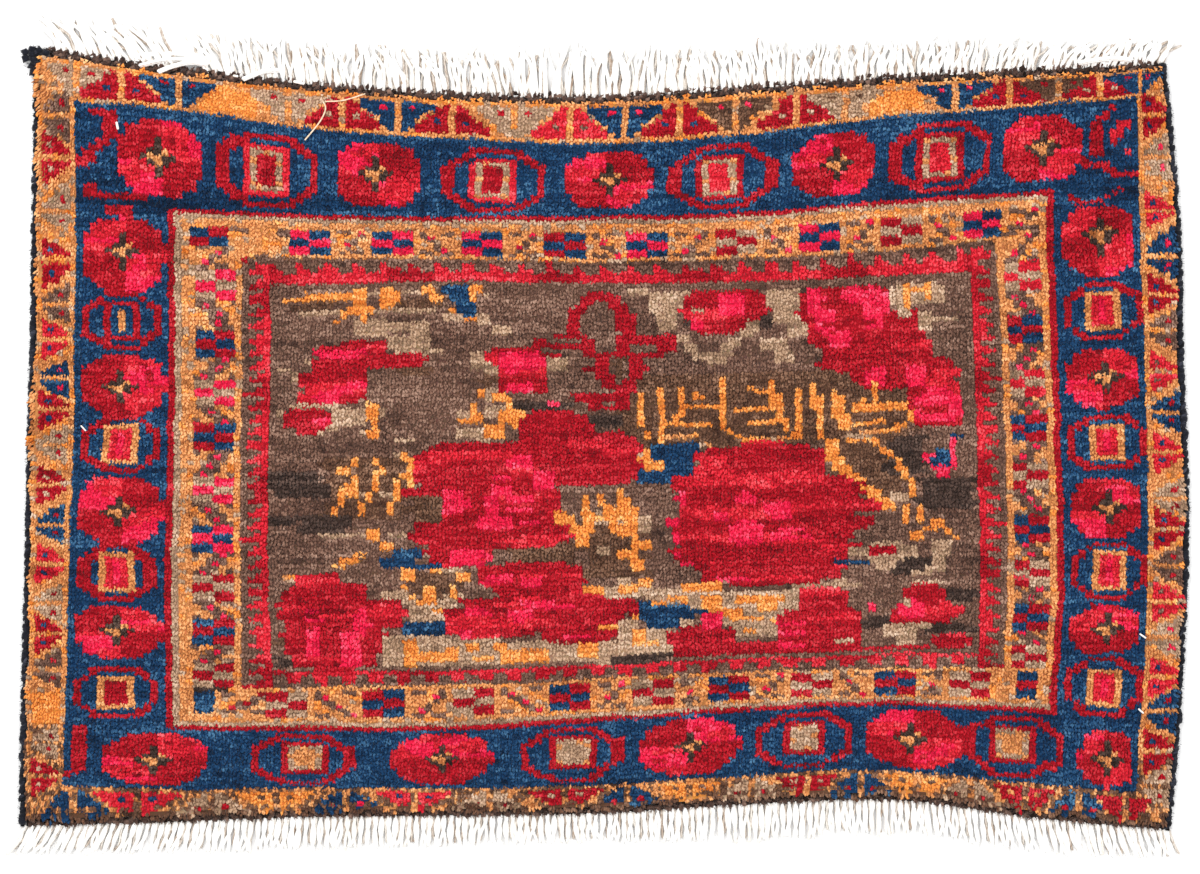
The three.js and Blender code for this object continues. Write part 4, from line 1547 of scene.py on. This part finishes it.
# Each binding has its end, 0 for near and 1 for far, the distances of its lines of stitches from
# the edge, their waver, how far all but the outermost are raised, and the number of hairs to a
# stitch and their length.
BINDINGS = (
    ("near_end_binding", 0, (2.4, 4.8), 0.5, 0, 4, 3.4),
    ("far_end_binding", 1, (0.2, 3.0, 5.4), 0.8, 0.5, 2, 2.8),
)
for name, side, stitch_lines, waver, raised, hairs_each, hair_length in BINDINGS:
    low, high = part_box(name)
    outward = 1 if side else -1
    count = int((high.x - low.x) / MM / STITCH_PITCH)
    roots = []
    tips = []
    for line, inset in enumerate(stitch_lines):
        wander = random.normal(size=(6, count))
        at = (np.arange(count) + 0.5 + 0.4 * (line % 2) - 0.2 + 0.3 * wander[0]) / count
        x, y = spot_on(at, np.full(count, float(side)), side_inset + STITCH_PITCH / 2, inset)
        y = y + waver * wander[1]
        slant = 1.8 + 0.8 * wander[2]
        reach = 1.2 + 0.5 * wander[3]
        z = BINDING_HEIGHT - STITCH_HALF_THICK + (raised if line else 0) + 0.3 * wander[4]
        roots.append(np.stack((x - slant, y + outward * reach, z), axis=1))
        tips.append(np.stack((x + slant, y - outward * reach, z + 0.4), axis=1))
    roots = np.concatenate(roots)
    tips = np.concatenate(tips)
    total = len(roots)
    girth = 1 + 0.2 * random.normal(size=total)
    stitches = spindles(
        roots, tips, STITCH_HALF_WIDE * girth, STITCH_HALF_THICK * girth, np.full(total, 0.5),
        random.random(total), STITCH_SIDES, STITCH_UNEVENNESS,
    )
    hair_count = hairs_each * total
    spots = random.integers(0, total, hair_count)
    fuzz = hairs(
        (roots[spots, 0] + tips[spots, 0]) / 2 + random.normal(size=hair_count),
        (roots[spots, 1] + tips[spots, 1]) / 2 + outward * random.random(hair_count),
        np.full(hair_count, BINDING_HEIGHT - END_HAIR_DEPTH), hair_length, 0.0, outward * 0.6,
    )
    points, faces = join_solids(stitches, fuzz)
    piece = mesh_from(name + "_stitches", to_metres(points), faces)
    tone = STITCH_TONE + 0.2 * random.normal(size=total)
    tones_of_points = np.concatenate((
        np.repeat(tone, stitches[0].shape[1]),
        np.full(fuzz[0].shape[0] * fuzz[0].shape[1], END_HAIR_TONE),
    ))
    point_values(piece, "tone", tones_of_points)
    point_values(piece, "rise", np.full(len(tones_of_points), STITCH_RISE))

    def band_spots(along_share, across_share):
        inset = BAND_INSET + BAND_WIDTH * across_share
        return spot_on(along_share, np.full(len(inset), float(side)), side_inset, inset)

    band = core_band(name + "_band", BAND_STEPS, band_spots, BAND_BOTTOM, BAND_THICKNESS)
    for part in (piece, band):
        part.data.materials.append(end_material)
        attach(part, "root")
        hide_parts(name)


# Fringes
# The cotton warps, left long past each binding. Each knot column ends in a soft strand of two yarns,
# with the other warps' yarns under it, given a darker tone as painted shade between the strands. The
# near fringe was combed straight, the far one has worked loose, and some of its strands are bent back
# over the binding.

# How far each fringe reaches past its edge, and leans to the right, at the ends' own stations.
FRINGE_REACH = {
    "near_end_fringe": (20, 22, 24, 22, 21, 27, 25, 26, 20),
    "far_end_fringe": (26, 33, 32, 33, 36, 31, 28, 21, 17),
}
FRINGE_LEAN = {
    "near_end_fringe": (-13, -6, -2, -1, 1, 0, 1, 6, 8),
    "far_end_fringe": (-17, -19, -3, -4, 0, -2, 2, 9, 9),
}
STRAND_SIDES = 6
STRAND_STEPS = 9
YARN_RADIUS = 1.42
UNDER_YARN_RADIUS = 1.0
BENT_YARN_RADIUS = 1.2
YARN_TONE = 0.86
# The under yarns' low tone is painted shade between the strands above them.
UNDER_YARN_SHADE_TONE = 0.3
BENT_YARN_TONE = 0.9
UNDER_YARN_LENGTH = 0.86
# STRAND_RISE sets the cotton high enough that the material's painted root shade darkens it only a
# little.
STRAND_RISE = 0.8
STRANDS_IN_BUNCH = 3
EDGE_INSET = 1.4
CORNER_INSET = 1.5
COTTON = ((160, 136, 116), (232, 226, 217), (253, 252, 250))
cotton_material = yarn_material("fringe_cotton", COTTON, 0.1, (1, 0.35, 1), 0.7)


def strand_solids(paths, radii):
    """Closed tubes along many open paths.

    paths is strands by steps by 3, and radii is strands by steps.
    """
    pointed = 0.7
    strands, steps, _ = paths.shape
    along = np.gradient(paths, axis=1)
    along /= np.linalg.norm(along, axis=2, keepdims=True)
    across = np.cross(along, np.array((0.0, 0.0, 1.0)))
    across /= np.linalg.norm(across, axis=2, keepdims=True)
    upright = np.cross(across, along)
    turns = 2 * np.pi * np.arange(STRAND_SIDES) / STRAND_SIDES
    level = np.cos(turns)[None, None, :, None] * radii[:, :, None, None]
    height = np.sin(turns)[None, None, :, None] * radii[:, :, None, None]
    tube = paths[:, :, None, :] + across[:, :, None, :] * level + upright[:, :, None, :] * height
    tube = tube.reshape(strands, steps * STRAND_SIDES, 3)
    root_end = paths[:, 0] - along[:, 0] * radii[:, :1] * pointed
    tip_end = paths[:, -1] + along[:, -1] * radii[:, -1:] * pointed
    points = np.concatenate((tube, np.stack((root_end, tip_end), axis=1)), axis=1)
    step, side = np.meshgrid(np.arange(steps - 1), np.arange(STRAND_SIDES), indexing="ij")
    a = step * STRAND_SIDES + side
    b = a + STRAND_SIDES
    d = step * STRAND_SIDES + (side + 1) % STRAND_SIDES
    c = d + STRAND_SIDES
    walls = np.concatenate((
        np.stack((a, d, c), axis=-1).reshape(-1, 3),
        np.stack((a, c, b), axis=-1).reshape(-1, 3),
    ))
    ring = np.arange(STRAND_SIDES)
    following = (ring + 1) % STRAND_SIDES
    root_hub = steps * STRAND_SIDES
    last = root_hub - STRAND_SIDES
    root_cap = np.stack((ring * 0 + root_hub, following, ring), axis=1)
    tip_cap = np.stack((ring * 0 + root_hub + 1, last + ring, last + following), axis=1)
    faces = np.concatenate((walls, root_cap, tip_cap))
    faces = faces[None] + (np.arange(strands) * points.shape[1])[:, None, None]
    return points, faces


# The stretch of the far end, and the corner left of the given place, that have no fringe.
BARE_STRETCH = (-334, -311)
BARE_CORNER = -428

# Strands bent back over the far binding, each by the x, the y and the height of four places on it.
# Each is of three yarns, which lie beside one another by the offsets.
BENT_STRANDS = (
    ((-311, -331, -346, -362), (294.5, 297.2, 296.4, 292.5), (2.5, 2.5, 3, 4.5)),
    ((-310, -323, -337, -347), (293, 294.8, 291.7, 287.4), (3.5, 5, 7, 9.5)),
    ((-309, -326, -344, -366), (298, 301, 302, 301), (1.3, 1.2, 1.2, 1.2)),
    ((-312, -322, -333, -341), (293, 295.4, 296.6, 297), (1.6, 1.3, 1.3, 1.3)),
    ((-312, -319, -327, -333), (296, 298.5, 300.5, 303), (1.6, 1.3, 1.3, 1.3)),
    ((-253, -264, -272, -281), (288.6, 288.2, 285.5, 281.6), (3.5, 5, 7.5, 9.5)),
    ((412, 400, 388, 371), (296.4, 298, 297.2, 294.5), (3.5, 5, 5.5, 5.5)),
)
BENT_YARN_OFFSETS = ((0, 0, 0), (1.2, 1.7, 0.3), (-0.8, 0.9, 1.5))

# Each fringe has its end, 0 for near and 1 for far, its looseness, the number of yarns laid at a knot
# column, of which all past the second are the under ones, darker as painted shade, and how far its
# strands are raised.
FRINGES = (("near_end_fringe", 0, 0.22, 3, 0.15), ("far_end_fringe", 1, 1.0, 4, 0.5))
for name, side, loose, layers, raised in FRINGES:
    outward = 1 if side else -1
    reach_line = smooth_line(END_STATIONS, FRINGE_REACH[name])
    lean_line = smooth_line(END_STATIONS, FRINGE_LEAN[name])
    count = KNOT_COLUMNS
    at = (np.arange(count) + 0.5 + 0.16 * loose * random.normal(size=count)) / count
    x, y = spot_on(at, np.full(count, float(side)), CORNER_INSET, EDGE_INSET)
    if side:
        kept = ((x < BARE_STRETCH[0]) | (x > BARE_STRETCH[1])) & (x > BARE_CORNER)
        x = x[kept]
        y = y[kept]
        count = len(x)
    bunch = np.arange(count) // STRANDS_IN_BUNCH
    bunch_lean = random.normal(size=bunch[-1] + 1)[bunch]
    share = np.linspace(0, 1, STRAND_STEPS)[None, :]
    solids = []
    tones_of_points = []
    rises = []
    turn = random.random(count)[:, None] * 2 * np.pi + np.pi * 1.6 * share
    for layer in range(layers):
        under = layer > 1
        wander = random.normal(size=(9, count))
        reach = reach_line(x) + EDGE_INSET
        length = reach * (1 + (0.03 + 0.09 * loose) * wander[0]) * (UNDER_YARN_LENGTH if under else 1.0)
        lean = lean_line(x) * (1 + 0.25 * wander[1] * loose) + (0.4 + 2.2 * loose) * wander[2]
        lean = lean + 2.0 * loose * bunch_lean + (0.9 * wander[3] if under else 0)
        sway = (0.4 + 1.5 * loose) * wander[4][:, None]
        sway = sway * np.sin(2 * np.pi * (0.9 * share + wander[5][:, None]))
        curl = (0.7 + 2.6 * loose) * wander[6][:, None] * share ** 3
        if under:
            aside = 2.7 + 0.6 * wander[7][:, None] + 0 * share
            lift = 0 * share
            radius = UNDER_YARN_RADIUS
        else:
            sign = 1 if layer else -1
            aside = sign * (1.0 + 0.9 * loose * share) * np.cos(turn)
            lift = 0.55 * (1 + sign * np.sin(turn)) + raised
            radius = YARN_RADIUS
        path_x = x[:, None] + aside + lean[:, None] * share ** 1.2 + sway * share + curl
        path_y = y[:, None] + outward * length[:, None] * share + 0.5 * loose * np.sin(5 * share)
        drop = np.clip(1 - share * length[:, None] / 8.5, 0, 1) ** 1.4
        free = np.minimum(1, 4 * share)
        height = np.abs(wander[8][:, None]) * (0.15 + 0.8 * loose) * np.sin(np.pi * share ** 0.8)
        path_z = radius + 0.1 + lift * free + 0.7 * drop + height * free
        paths = np.stack((path_x, path_y, path_z), axis=-1)
        taper = (1 - 0.12 * share ** 6) * (0.8 + 0.2 * np.minimum(1, share * 6))
        radii = radius * (1 + 0.08 * wander[7][:, None]) * taper
        points, faces = strand_solids(paths, radii)
        solids.append((points, faces))
        tone = (UNDER_YARN_SHADE_TONE if under else YARN_TONE) + 0.1 * random.normal(size=count)
        tones_of_points.append(np.repeat(tone, points.shape[1]))
        rises.append(np.full(count * points.shape[1], STRAND_RISE))
    if side:
        bent = []
        for path_x, path_y, path_z in BENT_STRANDS:
            stations = np.arange(len(path_x))
            at = np.linspace(0, len(path_x) - 1, STRAND_STEPS)
            line = np.stack((
                smooth_line(stations, path_x)(at), smooth_line(stations, path_y)(at),
                smooth_line(stations, path_z)(at),
            ), axis=-1)
            for offset in BENT_YARN_OFFSETS:
                bent.append(line + np.array(offset))
        bent = np.array(bent)
        points, faces = strand_solids(bent, np.full(bent.shape[:2], BENT_YARN_RADIUS))
        solids.append((points, faces))
        tones_of_points.append(np.full(points.shape[0] * points.shape[1], BENT_YARN_TONE))
        rises.append(np.full(points.shape[0] * points.shape[1], STRAND_RISE))
    points, faces = join_solids(*solids)
    piece = mesh_from(name + "_yarns", to_metres(points), faces)
    point_values(piece, "tone", np.concatenate(tones_of_points))
    point_values(piece, "rise", np.concatenate(rises))
    piece.data.materials.append(cotton_material)
    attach(piece, "root")
    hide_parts(name)

# Loose ends of cotton on the pile: a long cream thread in two lengths near the far edge, and
# short white bits. Each has the places that it passes, its radius and its tone.
LOOSE_THREADS = (
    (((-186.4, 270.7), (-203.2, 265.7), (-217.6, 264.8)), 0.55, 0.45),
    (((-219.3, 264.8), (-217.1, 260.5), (-218.4, 255.1), (-223.1, 247), (-233.2, 234.8)), 0.6, 0.45),
    (((-380.2, 248.6), (-379.1, 243.4)), 1.0, 0.85),
    (((-241.8, 280.4), (-234, 278.8)), 1.1, 0.85),
    (((-289, 285), (-285.6, 284.4)), 0.9, 0.85),
    (((-407.9, 11.9), (-404.2, 8)), 0.6, 0.85),
    (((418, -150.5), (422.5, -153.6)), 0.7, 0.85),
    (((417, -209), (420.6, -212.2)), 0.7, 0.85),
)
THREAD_STEPS = 10
ABOVE_PILE = 0.2
THREAD_WAVE = 0.5
thread_paths = []
thread_radii = []
thread_tones = []
for places, radius, tone in LOOSE_THREADS:
    stations = np.arange(len(places))
    at = np.linspace(0, len(places) - 1, THREAD_STEPS)
    path_x = smooth_line(stations, [place[0] for place in places])(at)
    path_y = smooth_line(stations, [place[1] for place in places])(at)
    path_z = PILE_HEIGHT + ABOVE_PILE + THREAD_WAVE * np.sin(at * 2)
    thread_paths.append(np.stack((path_x, path_y, path_z), axis=-1))
    thread_radii.append(np.full(THREAD_STEPS, radius))
    thread_tones.append(tone)
points, faces = strand_solids(np.array(thread_paths), np.array(thread_radii))
loose_threads = mesh_from("loose_cotton_threads", to_metres(points), faces)
point_values(loose_threads, "tone", np.repeat(thread_tones, points.shape[1]))
point_values(loose_threads, "rise", np.full(points.shape[0] * points.shape[1], STRAND_RISE))
CREAM_COTTON = ((176, 140, 104), (238, 214, 184), (252, 250, 246))
loose_threads.data.materials.append(
    yarn_material("cream_cotton", CREAM_COTTON, 0.1, (0.5, 0.5, 1), 0.7)
)
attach(loose_threads, "root")
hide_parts("far_end_fringe")


# Floor, light and camera
# A plain near-white floor, two soft lights and an even sky, seen straight from above.

FLOOR_SIZE = 12
FLOOR_DROP = 0.0005
drop_selection()
bpy.ops.mesh.primitive_plane_add(size=FLOOR_SIZE, location=(0, 0, -FLOOR_DROP))
floor = bpy.context.object
floor.name = "floor"
floor_material = bpy.data.materials.new("floor_paper")
floor_material.use_nodes = True
floor_shader = floor_material.node_tree.nodes["Principled BSDF"]
floor_shader.inputs["Base Color"].default_value = (0.94, 0.94, 0.94, 1)
floor_shader.inputs["Roughness"].default_value = 0.9
floor.data.materials.append(floor_material)

world = bpy.data.worlds.new("studio")
bpy.context.scene.world = world
world.use_nodes = True
world.node_tree.nodes["Background"].inputs["Color"].default_value = (1, 1, 1, 1)
world.node_tree.nodes["Background"].inputs["Strength"].default_value = 1.0


def soft_light(name, place, size, power):
    lamp = bpy.data.lights.new(name, "AREA")
    lamp.shape = "SQUARE"
    lamp.size = size
    lamp.energy = power
    holder = bpy.data.objects.new(name, lamp)
    holder.location = place
    aim = -holder.location.normalized()
    holder.rotation_euler = aim.to_track_quat("-Z", "Y").to_euler()
    bpy.context.scene.collection.objects.link(holder)


soft_light("key_light", (-0.8, 1.1, 1.8), 1.2, 24)
soft_light("fill_light", (1.2, -0.6, 2.0), 1.6, 15)

MM_PER_PIXEL = 0.78
PHOTO_SIZE = (1200, 874)
FIELD_MIDDLE_PIXEL = (604, 441)
LENS = 135
SENSOR = 36
view_width = PHOTO_SIZE[0] * MM_PER_PIXEL * MM
view_middle = to_metres(np.array((
    (PHOTO_SIZE[0] / 2 - FIELD_MIDDLE_PIXEL[0]) * MM_PER_PIXEL,
    (FIELD_MIDDLE_PIXEL[1] - PHOTO_SIZE[1] / 2) * MM_PER_PIXEL,
    PILE_HEIGHT,
)))
camera_data = bpy.data.cameras.new("camera")
camera_data.lens = LENS
camera_data.sensor_width = SENSOR
camera = bpy.data.objects.new("camera", camera_data)
camera.location = (view_middle[0], view_middle[1], view_middle[2] + view_width * LENS / SENSOR)
bpy.context.scene.collection.objects.link(camera)
bpy.context.scene.camera = camera
bpy.context.scene.view_settings.view_transform = "Standard"

bpy.context.view_layer.update()
